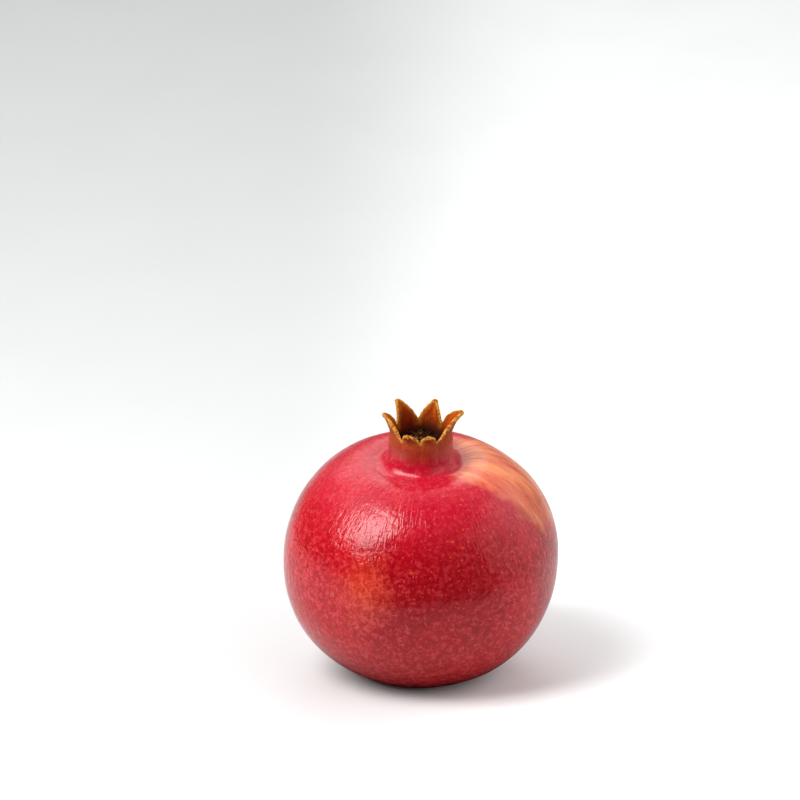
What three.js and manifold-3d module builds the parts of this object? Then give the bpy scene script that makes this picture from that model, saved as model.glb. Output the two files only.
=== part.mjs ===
// A whole pomegranate, as picked, standing on its stalk end with the crown up.
//
// The rind, the crown's tube and its six sepals grow as one skin, so they are one surface here. It starts
// at the cut stalk in the middle of the underside and goes up the body, the neck and the outside of the
// sepals. From there it turns over their edges and runs down the inside of the crown to its floor. The
// dried stamens and the style are joined to it there.
//
// The fruit is first made round its own axis, with z = 0 at its widest level. It is then leaned, and
// flattened where it rests, so that z = 0 is the surface it stands on.
import * as THREE from "three";
import { mergeVertices } from "three/addons/utils/BufferGeometryUtils.js";
import Module from "manifold-3d";

// Driving sizes, in millimetres and degrees.
// The body is a rounded solid: a power of 2 would be an ellipse, and more is squarer.
const BODY_RADIUS = 45;
const BODY_TOP = 40;
const BODY_BASE = 42;
const TOP_POWER = 2.1;
const BASE_POWER = 2.2;
const LEAN = 8; // the crown leans this much towards -Y
const FLATTENING = 2.2; // how far the round base is pressed flat by the fruit's weight

const DIMPLE_DEPTH = 3.8;
const DIMPLE_RADIUS = 5;
const STALK_RADIUS = 2.3;
const STALK_LENGTH = 1.2;

const DIP_DEPTH = 11; // how far the shoulder is sunk towards the axis
const DIP_RADIUS = 14.6;
const NECK_FOOT_RADIUS = 16; // where the shoulder starts to rise into the neck
const NECK_RADIUS = 10.5;
const NECK_START = 43.4; // the shoulder has turned upright at this height
const SHOULDER_DROP = 9.2; // how far below that its upper part starts to turn
const SHOULDER_PULL = 0.54; // how far the body's own slope carries on, as a share of the shoulder's width
const MOUTH_RADIUS = 10.2; // outside of the crown at the notches
const NOTCH_HEIGHT = 45.5; // above the widest level
const WALL = 1.7; // at the notches
const TIP_WALL = 1.1;
const FLOOR_HEIGHT = 36.5; // of the crown's hollow
const FLOOR_RADIUS = 5;
const WALL_DROP = 5; // how far the hollow's wall runs straight down before it turns in
const WALL_TURN = 0.6; // how far it comes in at the bottom of that turn

// Each sepal: its two notches and its tip as directions round the axis, its length, how far it leans out
// from the axis at its foot and at its tip, and how full its outline is (1 has straight edges). Direction
// 0 is +X, and -90 faces the front.
const SEPALS = [
  { name: "right", notches: [-57, 44], tip: 3, length: 7.5, foot: 8, flare: 52, taper: 0.8 },
  { name: "back", notches: [44, 95], tip: 65, length: 6.0, foot: 2, flare: 26, taper: 1.2 },
  { name: "back left", notches: [95, 147], tip: 131, length: 7.1, foot: 2, flare: 32, taper: 1.1 },
  { name: "left", notches: [147, 231], tip: 181, length: 6.6, foot: 4, flare: 38, taper: 0.8 },
  { name: "front left", notches: [231, 269], tip: 245, length: 3.1, foot: 4, flare: 48, taper: 1.4 },
  { name: "front right", notches: [269, 303], tip: 284, length: 3.0, foot: 4, flare: 48, taper: 1.35 },
];
const SEPAL_CUP = 0.5; // how far the edges stand in from the middle
const TIP_WIDTH = 1.3;
const RIM_ROUNDING = 0.3;
const CREASE = 0.35; // how deep the neck is creased under each notch

// Slow swells that keep the body from being a perfect round: how many to a turn, height and direction.
const SWELLS = [
  { count: 2, height: 0.25, turn: 40 },
  { count: 3, height: 0.2, turn: 100 },
  { count: 6, height: 0.35, turn: 15 },
];

const STAMENS = 34;
const STAMEN_FOOT = 38.3; // height of the lower of their two rows
const STAMEN_RISE = 1.5;
const STAMEN_ROOT = 0.5; // how deep each one starts in the wall
const STAMEN_REACH = [2.2, 5.6]; // how near the axis the ends come
const STAMEN_CLIMB = [-0.6, 1]; // the ends' height over the roots
const STAMEN_TURN = [-0.5, 0.5]; // how far round the axis the ends stray, in radians
const STAMEN_BEND = { inward: 2.5, up: 1 }; // where the bend lies from the root
const STAMEN_RADIUS = 0.33;
const ANTHER_RADIUS = 0.62;
const STYLE_RADIUS = 0.7;
const STYLE_HEIGHT = 5.4;
const STYLE_TIP = [0.9, 0.5]; // how far its tip stands off the axis
const STYLE_SHAPE = [1, 0.8, 0.75, 0.8, 1.3, 1.1]; // its radius from foot to tip, as shares
const RANDOM_SEED = 11;

// How finely the surface is divided.
const COLUMNS_PER_SEPAL = 10;
const BODY_ROWS = 25;
const SHOULDER_ROWS = 9;
const TUBE_ROWS = 3;
const SEPAL_ROWS = 6;
const INSIDE_ROWS = 5;
const STAMEN_SIDES = 4;
const STAMEN_STEPS = 4;
const STYLE_SIDES = 6;

const COLUMNS = SEPALS.length * COLUMNS_PER_SEPAL;
const radians = THREE.MathUtils.degToRad;
const mix = THREE.MathUtils.lerp;
const smoothstep = THREE.MathUtils.smoothstep;

// A seeded random number from 0 to 1 (mulberry32).
function makeRandom(seed) {
  let state = seed;
  return () => {
    state = (state + 0x6d2b79f5) | 0;
    let t = Math.imul(state ^ (state >>> 15), 1 | state);
    t = (t + Math.imul(t ^ (t >>> 7), 61 | t)) ^ t;
    return ((t ^ (t >>> 14)) >>> 0) / 4294967296;
  };
}

// The body's radius and height at an angle from its base, before its hollows and the neck.
function bodyPoint(angle) {
  const across = Math.sin(angle);
  const up = -Math.cos(angle);
  const power = up > 0 ? TOP_POWER : BASE_POWER;
  const size = (across ** power + Math.abs(up) ** power) ** (-1 / power);
  return { r: BODY_RADIUS * across * size, z: (up > 0 ? BODY_TOP : BODY_BASE) * up * size };
}

// The angle on the body, in one half of it, where its radius has a given value.
function angleAtRadius(radius, inTopHalf) {
  let low = inTopHalf ? Math.PI / 2 : 0;
  let high = inTopHalf ? Math.PI : Math.PI / 2;
  for (let i = 0; i < 40; i++) {
    const middle = (low + high) / 2;
    if (bodyPoint(middle).r < radius === inTopHalf) high = middle;
    else low = middle;
  }
  return (low + high) / 2;
}

// A point of the body with the hollow round the stalk and the shoulder's dip towards the neck.
function hollowedPoint(angle) {
  const { r, z } = bodyPoint(angle);
  const dimple = z < 0 ? DIMPLE_DEPTH * Math.exp(-((r / DIMPLE_RADIUS) ** 2)) : 0;
  const dip = z > 0 ? (DIP_DEPTH * z * Math.exp(-((r / DIP_RADIUS) ** 2))) / BODY_TOP : 0;
  return { r, z: z + dimple - dip };
}

// The outside's profile from the cut stalk up to the notches: radius, height, and how far the section has
// turned from the round of the body (0) into the six-sided neck (1).
function outsideProfile() {
  const rows = [];
  const dimpleFloor = -BODY_BASE + DIMPLE_DEPTH;
  for (const share of [0.55, 1]) {
    rows.push({ r: STALK_RADIUS * share, z: dimpleFloor - STALK_LENGTH, neck: 0 });
  }
  const first = angleAtRadius(STALK_RADIUS, false);
  const last = angleAtRadius(NECK_FOOT_RADIUS, true);
  for (let i = 0; i <= BODY_ROWS; i++) {
    const even = i / BODY_ROWS;
    const eased = (even + (1 - Math.cos(Math.PI * even)) / 2) / 2;
    rows.push({ ...hollowedPoint(mix(first, last, eased)), neck: 0 });
  }
  const foot = hollowedPoint(last);
  const beyond = hollowedPoint(last + 0.01);
  const slope = (beyond.z - foot.z) / (foot.r - beyond.r);
  const pull = (NECK_FOOT_RADIUS - NECK_RADIUS) * SHOULDER_PULL;
  const shoulder = new THREE.CubicBezierCurve(
    new THREE.Vector2(foot.r, foot.z),
    new THREE.Vector2(foot.r - pull, foot.z + pull * slope),
    new THREE.Vector2(NECK_RADIUS, NECK_START - SHOULDER_DROP),
    new THREE.Vector2(NECK_RADIUS, NECK_START),
  );
  for (let i = 1; i <= SHOULDER_ROWS; i++) {
    const share = i / SHOULDER_ROWS;
    const { x, y } = shoulder.getPoint(share);
    rows.push({ r: x, z: y, neck: smoothstep(share, 0, 1) });
  }
  for (let i = 1; i <= TUBE_ROWS; i++) {
    const share = i / TUBE_ROWS;
    rows.push({ r: mix(NECK_RADIUS, MOUTH_RADIUS, share), z: mix(NECK_START, NOTCH_HEIGHT, share), neck: 1 });
  }
  return rows;
}

// The inside's profile from the notches down to the floor.
function insideProfile() {
  const mouth = MOUTH_RADIUS - WALL;
  const wall = new THREE.CubicBezierCurve(
    new THREE.Vector2(mouth, NOTCH_HEIGHT),
    new THREE.Vector2(mouth, NOTCH_HEIGHT - WALL_DROP),
    new THREE.Vector2(mouth - WALL_TURN, FLOOR_HEIGHT),
    new THREE.Vector2(FLOOR_RADIUS, FLOOR_HEIGHT),
  );
  const rows = [];
  for (let i = 1; i <= INSIDE_ROWS; i++) {
    const { x, y } = wall.getPoint(i / INSIDE_ROWS);
    rows.push({ r: x, z: y, neck: 1 });
  }
  rows.push({ r: FLOOR_RADIUS / 2, z: FLOOR_HEIGHT, neck: 1 });
  return rows;
}

// A column's place in its sepal: -1 and 1 are the notches, 0 the middle.
const acrossSepal = (column) => (2 * (column % COLUMNS_PER_SEPAL)) / COLUMNS_PER_SEPAL - 1;

// The direction of a column round the axis: even on the body, and bunched under the sepals on the neck.
function columnDirection(column, neck) {
  const sepal = SEPALS[Math.floor(column / COLUMNS_PER_SEPAL) % SEPALS.length];
  const share = (acrossSepal(column) + 1) / 2;
  const even = SEPALS[0].notches[0] + (360 * column) / COLUMNS;
  return radians(mix(even, mix(sepal.notches[0], sepal.notches[1], share), neck));
}

// How far the surface stands out from its profile: slow swells on the body, and a crease under each notch.
function relief(column, row, direction) {
  const height = row.z / (row.z > 0 ? BODY_TOP : BODY_BASE);
  const swell = SWELLS.reduce(
    (sum, s) => sum + s.height * Math.cos(s.count * (direction - radians(s.turn))),
    0,
  );
  const crease = -CREASE * row.neck ** 2 * Math.abs(acrossSepal(column)) ** 3;
  return mix(swell * Math.max(0, 1 - height ** 2), crease, row.neck);
}

function ringPoint(column, row) {
  const direction = columnDirection(column, row.neck);
  const r = row.r + relief(column, row, direction);
  return new THREE.Vector3(r * Math.cos(direction), r * Math.sin(direction), row.z);
}

// A point on a sepal's outer (face 0) or inner (face 1) side: across goes from -1 to 1 and up from 0 to 1.
function sepalPoint(sepal, across, up, face) {
  const foot = radians(sepal.foot);
  const turn = radians(sepal.flare) - foot;
  const lean = foot + turn * up;
  const footRadius = MOUTH_RADIUS - CREASE * Math.abs(across) ** 3 * (1 - up);
  let r = footRadius + ((Math.cos(foot) - Math.cos(lean)) * sepal.length) / turn;
  let z = NOTCH_HEIGHT + ((Math.sin(lean) - Math.sin(foot)) * sepal.length) / turn;
  const halfFoot = radians(sepal.notches[1] - sepal.notches[0]) / 2;
  const halfTip = TIP_WIDTH / 2 / r;
  const middle = radians(mix((sepal.notches[0] + sepal.notches[1]) / 2, sepal.tip, up));
  const direction = middle + across * mix(halfFoot, halfTip, up ** sepal.taper);
  const inward = face * mix(WALL, TIP_WALL, up) + SEPAL_CUP * across ** 2 * 4 * up * (1 - up);
  r -= inward * Math.cos(lean);
  z += inward * Math.sin(lean) * Math.min(1, 3 * up);
  return new THREE.Vector3(r * Math.cos(direction), r * Math.sin(direction), z);
}

// The whole skin as one closed mesh.
function skinGeometry() {
  const points = [];
  const faces = [];
  const add = (point) => points.push(point) - 1;
  const quad = (a, b, c, d) => faces.push(a, b, c, a, c, d);
  const ringOf = (row) => Array.from({ length: COLUMNS }, (_, column) => add(ringPoint(column, row)));

  // Joins two closed rings; the second is further along the outside, from the stalk to the crown's floor.
  const joinRings = (from, to) => {
    for (let i = 0; i < COLUMNS; i++) {
      const next = (i + 1) % COLUMNS;
      quad(from[i], from[next], to[next], to[i]);
    }
  };
  // Closes a ring with one middle point, at the start or the end of the surface.
  const closeRing = (ring, middle, atStart) => {
    for (let i = 0; i < COLUMNS; i++) {
      const next = (i + 1) % COLUMNS;
      if (atStart) faces.push(middle, ring[next], ring[i]);
      else faces.push(ring[i], ring[next], middle);
    }
  };

  const outside = outsideProfile();
  const outerRings = outside.map(ringOf);
  closeRing(outerRings[0], add(new THREE.Vector3(0, 0, outside[0].z)), true);
  for (let i = 1; i < outerRings.length; i++) joinRings(outerRings[i - 1], outerRings[i]);
  const outerMouth = outerRings[outerRings.length - 1];

  const innerMouth = ringOf({ r: MOUTH_RADIUS - WALL, z: NOTCH_HEIGHT, neck: 1 });
  const insideRings = [innerMouth, ...insideProfile().map(ringOf)];
  for (let i = 1; i < insideRings.length; i++) joinRings(insideRings[i - 1], insideRings[i]);
  const lastRing = insideRings[insideRings.length - 1];
  closeRing(lastRing, add(new THREE.Vector3(0, 0, FLOOR_HEIGHT)), false);

  // The middle of the edge at each notch, which two sepals share.
  const notchEdges = SEPALS.map((_, k) => {
    const column = k * COLUMNS_PER_SEPAL;
    return add(points[outerMouth[column]].clone().lerp(points[innerMouth[column]], 0.5));
  });

  SEPALS.forEach((sepal, k) => {
    const start = k * COLUMNS_PER_SEPAL;
    const grid = [0, 1].map((face) => {
      const mouth = face ? innerMouth : outerMouth;
      const rows = [Array.from({ length: COLUMNS_PER_SEPAL + 1 }, (_, i) => mouth[(start + i) % COLUMNS])];
      for (let j = 1; j <= SEPAL_ROWS; j++) {
        rows.push(
          Array.from({ length: COLUMNS_PER_SEPAL + 1 }, (_, i) =>
            add(sepalPoint(sepal, (2 * i) / COLUMNS_PER_SEPAL - 1, j / SEPAL_ROWS, face)),
          ),
        );
      }
      return rows;
    });
    const [outer, inner] = grid;
    for (let j = 0; j < SEPAL_ROWS; j++) {
      for (let i = 0; i < COLUMNS_PER_SEPAL; i++) {
        quad(outer[j][i], outer[j][i + 1], outer[j + 1][i + 1], outer[j + 1][i]);
        quad(inner[j][i + 1], inner[j][i], inner[j + 1][i], inner[j + 1][i + 1]);
      }
    }
    // The edge runs up one side, over the tip and down the other, rounded by a middle line that stands out.
    const places = [];
    for (let j = 1; j < SEPAL_ROWS; j++) places.push([j, 0]);
    for (let i = 0; i <= COLUMNS_PER_SEPAL; i++) places.push([SEPAL_ROWS, i]);
    for (let j = SEPAL_ROWS - 1; j >= 1; j--) places.push([j, COLUMNS_PER_SEPAL]);
    const heart = points[outer[SEPAL_ROWS >> 1][COLUMNS_PER_SEPAL >> 1]];
    const edge = places.map(([j, i]) => {
      const middle = points[outer[j][i]].clone().lerp(points[inner[j][i]], 0.5);
      const outwards = middle.clone().sub(heart).setLength(RIM_ROUNDING);
      return [outer[j][i], add(middle.add(outwards)), inner[j][i]];
    });
    const after = (k + 1) % SEPALS.length;
    const path = [
      [outer[0][0], notchEdges[k], inner[0][0]],
      ...edge,
      [outer[0][COLUMNS_PER_SEPAL], notchEdges[after], inner[0][COLUMNS_PER_SEPAL]],
    ];
    for (let i = 1; i < path.length; i++) {
      for (const side of [0, 1]) {
        quad(path[i - 1][side], path[i][side], path[i][side + 1], path[i - 1][side + 1]);
      }
    }
  });

  const geometry = new THREE.BufferGeometry().setFromPoints(points);
  geometry.setIndex(faces);
  return geometry;
}

// A closed rod along a curve, with its radius given at each step.
function rodGeometry(curve, radii, sides) {
  const points = [];
  const faces = [];
  const steps = radii.length - 1;
  const { normals, binormals } = curve.computeFrenetFrames(steps, false);
  radii.forEach((radius, i) => {
    const centre = curve.getPoint(i / steps);
    for (let k = 0; k < sides; k++) {
      const angle = (2 * Math.PI * k) / sides;
      points.push(
        centre
          .clone()
          .addScaledVector(normals[i], radius * Math.cos(angle))
          .addScaledVector(binormals[i], radius * Math.sin(angle)),
      );
    }
  });
  for (let i = 0; i < steps; i++) {
    for (let k = 0; k < sides; k++) {
      const next = (k + 1) % sides;
      const [a, b, c, d] = [i * sides + k, i * sides + next, (i + 1) * sides + next, (i + 1) * sides + k];
      faces.push(a, b, c, a, c, d);
    }
  }
  const top = steps * sides;
  for (let k = 1; k < sides - 1; k++) {
    faces.push(0, k + 1, k);
    faces.push(top, top + k, top + k + 1);
  }
  const geometry = new THREE.BufferGeometry().setFromPoints(points);
  geometry.setIndex(faces);
  return geometry;
}

// The dried stamens: threads that grow from the crown's inner wall and curl in over the floor, each with its
// anther at the end.
function stamenGeometries() {
  const random = makeRandom(RANDOM_SEED);
  const wall = MOUTH_RADIUS - WALL;
  return Array.from({ length: STAMENS }, (_, i) => {
    const direction = ((i + 0.6 * random()) / STAMENS) * 2 * Math.PI;
    const rootHeight = STAMEN_FOOT + STAMEN_RISE * (i % 2) + random();
    const endRadius = mix(...STAMEN_REACH, random());
    const endTurn = direction + mix(...STAMEN_TURN, random());
    const endHeight = rootHeight + mix(...STAMEN_CLIMB, random());
    const at = (angle, r, z) => new THREE.Vector3(r * Math.cos(angle), r * Math.sin(angle), z);
    const curve = new THREE.QuadraticBezierCurve3(
      at(direction, wall + STAMEN_ROOT, rootHeight),
      at((direction + endTurn) / 2, wall - STAMEN_BEND.inward, rootHeight + STAMEN_BEND.up),
      at(endTurn, endRadius, endHeight),
    );
    const radii = Array(STAMEN_STEPS).fill(STAMEN_RADIUS);
    radii.push(ANTHER_RADIUS, ANTHER_RADIUS * 0.7);
    return rodGeometry(curve, radii, STAMEN_SIDES);
  });
}

function styleGeometry() {
  const curve = new THREE.QuadraticBezierCurve3(
    new THREE.Vector3(0, 0, FLOOR_HEIGHT - 1),
    new THREE.Vector3(0, 0, FLOOR_HEIGHT + STYLE_HEIGHT / 2),
    new THREE.Vector3(...STYLE_TIP, FLOOR_HEIGHT + STYLE_HEIGHT),
  );
  const radii = STYLE_SHAPE.map((share) => share * STYLE_RADIUS);
  return rodGeometry(curve, radii, STYLE_SIDES);
}

// Leans the fruit, flattens the patch it rests on, and puts the middle of its lowest level at the origin.
function setDown(geometry) {
  geometry.rotateX(radians(LEAN));
  geometry.computeBoundingBox();
  geometry.translate(0, 0, -geometry.boundingBox.min.z - FLATTENING);
  const position = geometry.getAttribute("position");
  for (let i = 0; i < position.count; i++) position.setZ(i, Math.max(0, position.getZ(i)));
  geometry.computeBoundingBox();
  const centre = geometry.boundingBox.getCenter(new THREE.Vector3());
  return geometry.translate(-centre.x, -centre.y, 0);
}

const wasm = await Module();
wasm.setup();

function toSolid(geometry) {
  geometry.deleteAttribute("normal");
  geometry.deleteAttribute("uv");
  const merged = mergeVertices(geometry, 1e-4);
  const mesh = new wasm.Mesh({
    numProp: 3,
    vertProperties: new Float32Array(merged.getAttribute("position").array),
    triVerts: new Uint32Array(merged.index.array),
  });
  return new wasm.Manifold(mesh);
}

function toGeometry(solid) {
  const mesh = solid.getMesh();
  const geometry = new THREE.BufferGeometry();
  geometry.setAttribute("position", new THREE.BufferAttribute(mesh.vertProperties, 3));
  geometry.setIndex(new THREE.BufferAttribute(mesh.triVerts, 1));
  return geometry;
}

const pieces = [skinGeometry(), styleGeometry(), ...stamenGeometries()];
const fruitGeometry = setDown(toGeometry(wasm.Manifold.union(pieces.map(toSolid))));
fruitGeometry.computeVertexNormals();

const rind = new THREE.MeshStandardMaterial({ color: 0xa8182a, roughness: 0.42, metalness: 0 });
const pomegranate = new THREE.Mesh(fruitGeometry, rind);
pomegranate.name = "pomegranate";

const fruit = new THREE.Group();
fruit.add(pomegranate);
export default fruit;
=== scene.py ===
"""A whole pomegranate: its rind with the crown, the cut stalk, and the dried stamens and style."""

import math

import bpy
import numpy as np
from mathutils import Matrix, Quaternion, Vector


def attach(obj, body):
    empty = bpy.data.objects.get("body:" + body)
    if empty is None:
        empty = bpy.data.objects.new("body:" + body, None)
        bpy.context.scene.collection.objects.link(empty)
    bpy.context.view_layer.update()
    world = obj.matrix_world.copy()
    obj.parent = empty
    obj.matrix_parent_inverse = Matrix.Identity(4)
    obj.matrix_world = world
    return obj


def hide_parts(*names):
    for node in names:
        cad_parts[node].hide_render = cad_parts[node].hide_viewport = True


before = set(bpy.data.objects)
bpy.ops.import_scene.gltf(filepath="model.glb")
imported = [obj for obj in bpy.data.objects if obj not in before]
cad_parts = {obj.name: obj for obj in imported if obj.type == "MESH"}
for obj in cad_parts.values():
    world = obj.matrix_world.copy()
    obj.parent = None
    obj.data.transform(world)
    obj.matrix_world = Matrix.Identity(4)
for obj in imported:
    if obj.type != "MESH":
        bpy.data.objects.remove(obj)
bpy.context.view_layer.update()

bl_info = {
    "name": "Pomegranate",
    "version": (1, 0, 0),
    "blender": (4, 5, 0),
    "location": "3D View > Sidebar > Pomegranate",
    "description": "Makes a whole pomegranate with its crown, stalk end and dried stamens",
    "category": "Add Mesh",
}

NODE = "pomegranate"
BODY = "root"
MM = 0.001

# Each sepal of the crown: the directions of its two notches and its tip round the axis in degrees, its length
# in millimetres, how far it leans out at its foot and at its tip, how full its outline is, and how thick its
# edges are.
SEPALS = (
    {"notches": (-57, 44), "tip": 3, "length": 7.5, "foot": 8, "flare": 52, "taper": 0.8, "edge": 1.25},
    {"notches": (44, 95), "tip": 65, "length": 6.0, "foot": 2, "flare": 26, "taper": 1.2, "edge": 0.7},
    {"notches": (95, 147), "tip": 131, "length": 7.1, "foot": 2, "flare": 32, "taper": 1.1, "edge": 0.7},
    {"notches": (147, 231), "tip": 181, "length": 6.6, "foot": 4, "flare": 38, "taper": 0.8, "edge": 1.2},
    {"notches": (231, 269), "tip": 245, "length": 3.1, "foot": 4, "flare": 48, "taper": 1.4, "edge": 0.7},
    {"notches": (269, 303), "tip": 284, "length": 3.0, "foot": 4, "flare": 48, "taper": 1.35, "edge": 0.7},
)
# Slow swells of the body: how many to a turn, height in millimetres, and direction in degrees.
SWELLS = ((2, 0.25, 40), (3, 0.2, 100), (6, 0.35, 15))
# The flat sides of the neck's foot: how many to a turn, and the direction of an edge between two in degrees.
FACETS = (6, -82)
# Rounded swellings of a sepal's tip and the waves across its faces, in millimetres.
TIP_KNOB = 0.12
FACE_WAVE = 0.12

# Where the finish turns on the way up from the neck's foot: the blush fades, the neck browns, the sepals'
# colour begins, the skin dries, and the crown's inside gets lighter as its painted shade gives way.
BLUSH_FADES = (3.6 * MM, -1.2 * MM)
NECK_BROWNS = (6.6 * MM, 11.6 * MM)
SEPALS_BEGIN = (11.2 * MM, 15.0 * MM)
SKIN_DRIES = (10.4 * MM, 13.6 * MM)
INSIDE_SHADE_FADES = (10.6 * MM, 17.4 * MM)
# The fine relief gets stronger on the way down from the neck's foot.
SMOOTH_NECK = (1 * MM, -12 * MM)
# Where it turns on the way in from the crown's edges: the golden rim ends, and the golden inner face fades.
RIM_ENDS = (0.55 * MM, 0.12 * MM)
GOLDEN_FADES = (2.6 * MM, 0.3 * MM)
# How ragged the fibres make the start of the sepals' colour and the golden rim.
SEPALS_RAGGED = 5 * MM
RIM_RAGGED = 0.8 * MM
# Where it turns with the height over the widest level: brick red below, pink above, and the mottling's two
# parts and the wrinkles getting stronger.
BRICK_BELOW = (2 * MM, -22 * MM)
PINK_ABOVE = (18 * MM, 32 * MM)
PALE_BELOW = (26 * MM, -4 * MM)
DARK_BELOW = (27 * MM, 12 * MM)
WRINKLED_ABOVE = (-20 * MM, 12 * MM)

# Depths of the relief that is too fine for the mesh.
PORE_DEPTH = 0.02 * MM
WRINKLE_DEPTH = 0.17 * MM
RIPPLE_DEPTH = 0.08 * MM
WAVE_DEPTH = 0.2 * MM
GRAIN_DEPTH = 0.3 * MM
FIBRE_DEPTH = 0.5 * MM
INSIDE_GRAIN_DEPTH = 0.4 * MM

# Patches of colour on the rind and in the crown: the middle, how it is squeezed, how wide it is and its edge.
PATCHES = {
    # Painted light: brighter red on the left front, where the key softbox shines.
    "lamplight": {"Centre": (-0.034, -0.026, 0.045), "Radius": 0.036, "Softness": 0.9},
    "deep": {"Centre": (0.012, -0.042, 0.049), "Stretch": (1, 1, 0.75), "Radius": 0.024, "Softness": 0.8},
    "orange": {"Centre": (-0.019, -0.041, 0.041), "Stretch": (1, 1, 0.8), "Radius": 0.0135, "Softness": 1.0,
               "Raggedness": 1.2},
    "blush": {"Centre": (0.028, -0.0025, 0.0705), "Stretch": (0.75, 1.1, 0.8), "Radius": 0.0232,
              "Softness": 0.34, "Raggedness": 0.6},
    # Painted shade on the inner face of the sepal at the back on the left, which turns from the key light.
    "shaded_sepal_patch": {"Centre": (-0.0066, 0.001, 0.0875), "Radius": 0.0075, "Softness": 0.8},
}

# The short strokes in the rind: their colour, the spacing between them, their size as a share of that, how
# they are squeezed, and how strongly they show.
STROKES = (
    ("speck", 0.0014, 0.3, (1, 1, 0.6), 0.5),
    ("orange", 0.0018, 0.27, (0.55, 1, 1), 0.6),
)

# The softboxes: which setting of the stage says how bright each is, its direction from the fruit, its
# distance, width and height, and how far it is turned about that direction in degrees.
SOFTBOXES = {
    "Key": ("key", (-0.606, -0.368, 0.705), 0.9, 0.5, 0.78, -16),
    "Key core": ("core", (-0.572, -0.362, 0.736), 0.88, 0.34, 0.44, -16),
    "Top": ("top", (-0.14, 0.68, 0.71), 1.1, 0.9, 0.6, 0),
    "Upper": ("upper", (-0.52, 0.12, 0.84), 1.1, 0.42, 0.75, 0),
    "Side": ("side", (0.975, 0.01, 0.22), 1.0, 1.55, 1.4, 0),
    "Fill": ("fill", (0.65, -0.6, 0.45), 1.5, 2.0, 2.0, 0),
}
# How far up its band each thread's root stands over the one before, as a share of the band, the points along
# a thread, and the place and size of a pollen head's two lobes as shares of its length.
ROOT_STEP = 0.382
THREAD_POINTS = 9
LOBE_SIDE = 0.14
LOBE_SIZE = (0.42, 0.36, 1.0)
# The photograph's width in pixels, and where the fruit's middle is seen in it.
PHOTO_PIXELS = 800
FRUIT_PIXEL = (420.94, 554.15)
# Half the width of the surface that the fruit stands on, and how far it lies under the fruit.
SURFACE_HALF = 5.0
SURFACE_GAP = 1e-5
# Where the surface gets paler from left to right, its painted shade lying on the left; and where its light
# reaches
# the fruit: not from right under it, and not from far in front of it, both darkened with painted shade.
SURFACE_SHADE_RAMP = (-50 * MM, 60 * MM)
SHADE_UNDER_FRUIT = (19 * MM, 52 * MM)
SHADE_FAR_FRONT = (-140 * MM, -90 * MM)

# How finely the rind is divided.
COLUMNS_PER_SEPAL = 44
COLUMNS = COLUMNS_PER_SEPAL * len(SEPALS)
BODY_ROWS = 128
SHOULDER_ROWS = 26
TUBE_ROWS = 8
SEPAL_ROWS = 34
RIM_ROWS = 6
INSIDE_ROWS = 22
# The angle of the first ring from the base, the step that gives the body's slope, and how finely the angle of
# the neck's foot is looked for.
FIRST_TURN = 0.012
SLOPE_STEP = 0.01
FOOT_STEPS = 20000
# How far down from the notches the wall's inside is still thinned under them.
THINNED_DEPTH = 2.5 * MM
# Stands for a point's distance to the crown's edges where there is none near.
FAR = 0.1


def srgb(code):
    """A colour given as six hexadecimal digits, as the linear values that Blender keeps."""
    parts = [int(code[i:i + 2], 16) / 255 for i in (0, 2, 4)]
    return tuple(c / 12.92 if c <= 0.04045 else ((c + 0.055) / 1.055) ** 2.4 for c in parts)


def length(name, description, default):
    return bpy.props.FloatProperty(name=name, description=description, default=default, min=0, unit="LENGTH",
                                   precision=5)


def angle(name, description, degrees):
    return bpy.props.FloatProperty(name=name, description=description, default=math.radians(degrees),
                                   unit="ROTATION", subtype="ANGLE")


def colour(name, description, code):
    return bpy.props.FloatVectorProperty(name=name, description=description, default=srgb(code), min=0, max=1,
                                         size=3, subtype="COLOR")


def strength(name, description, default):
    return bpy.props.FloatProperty(name=name, description=description, default=default, min=0)


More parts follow.
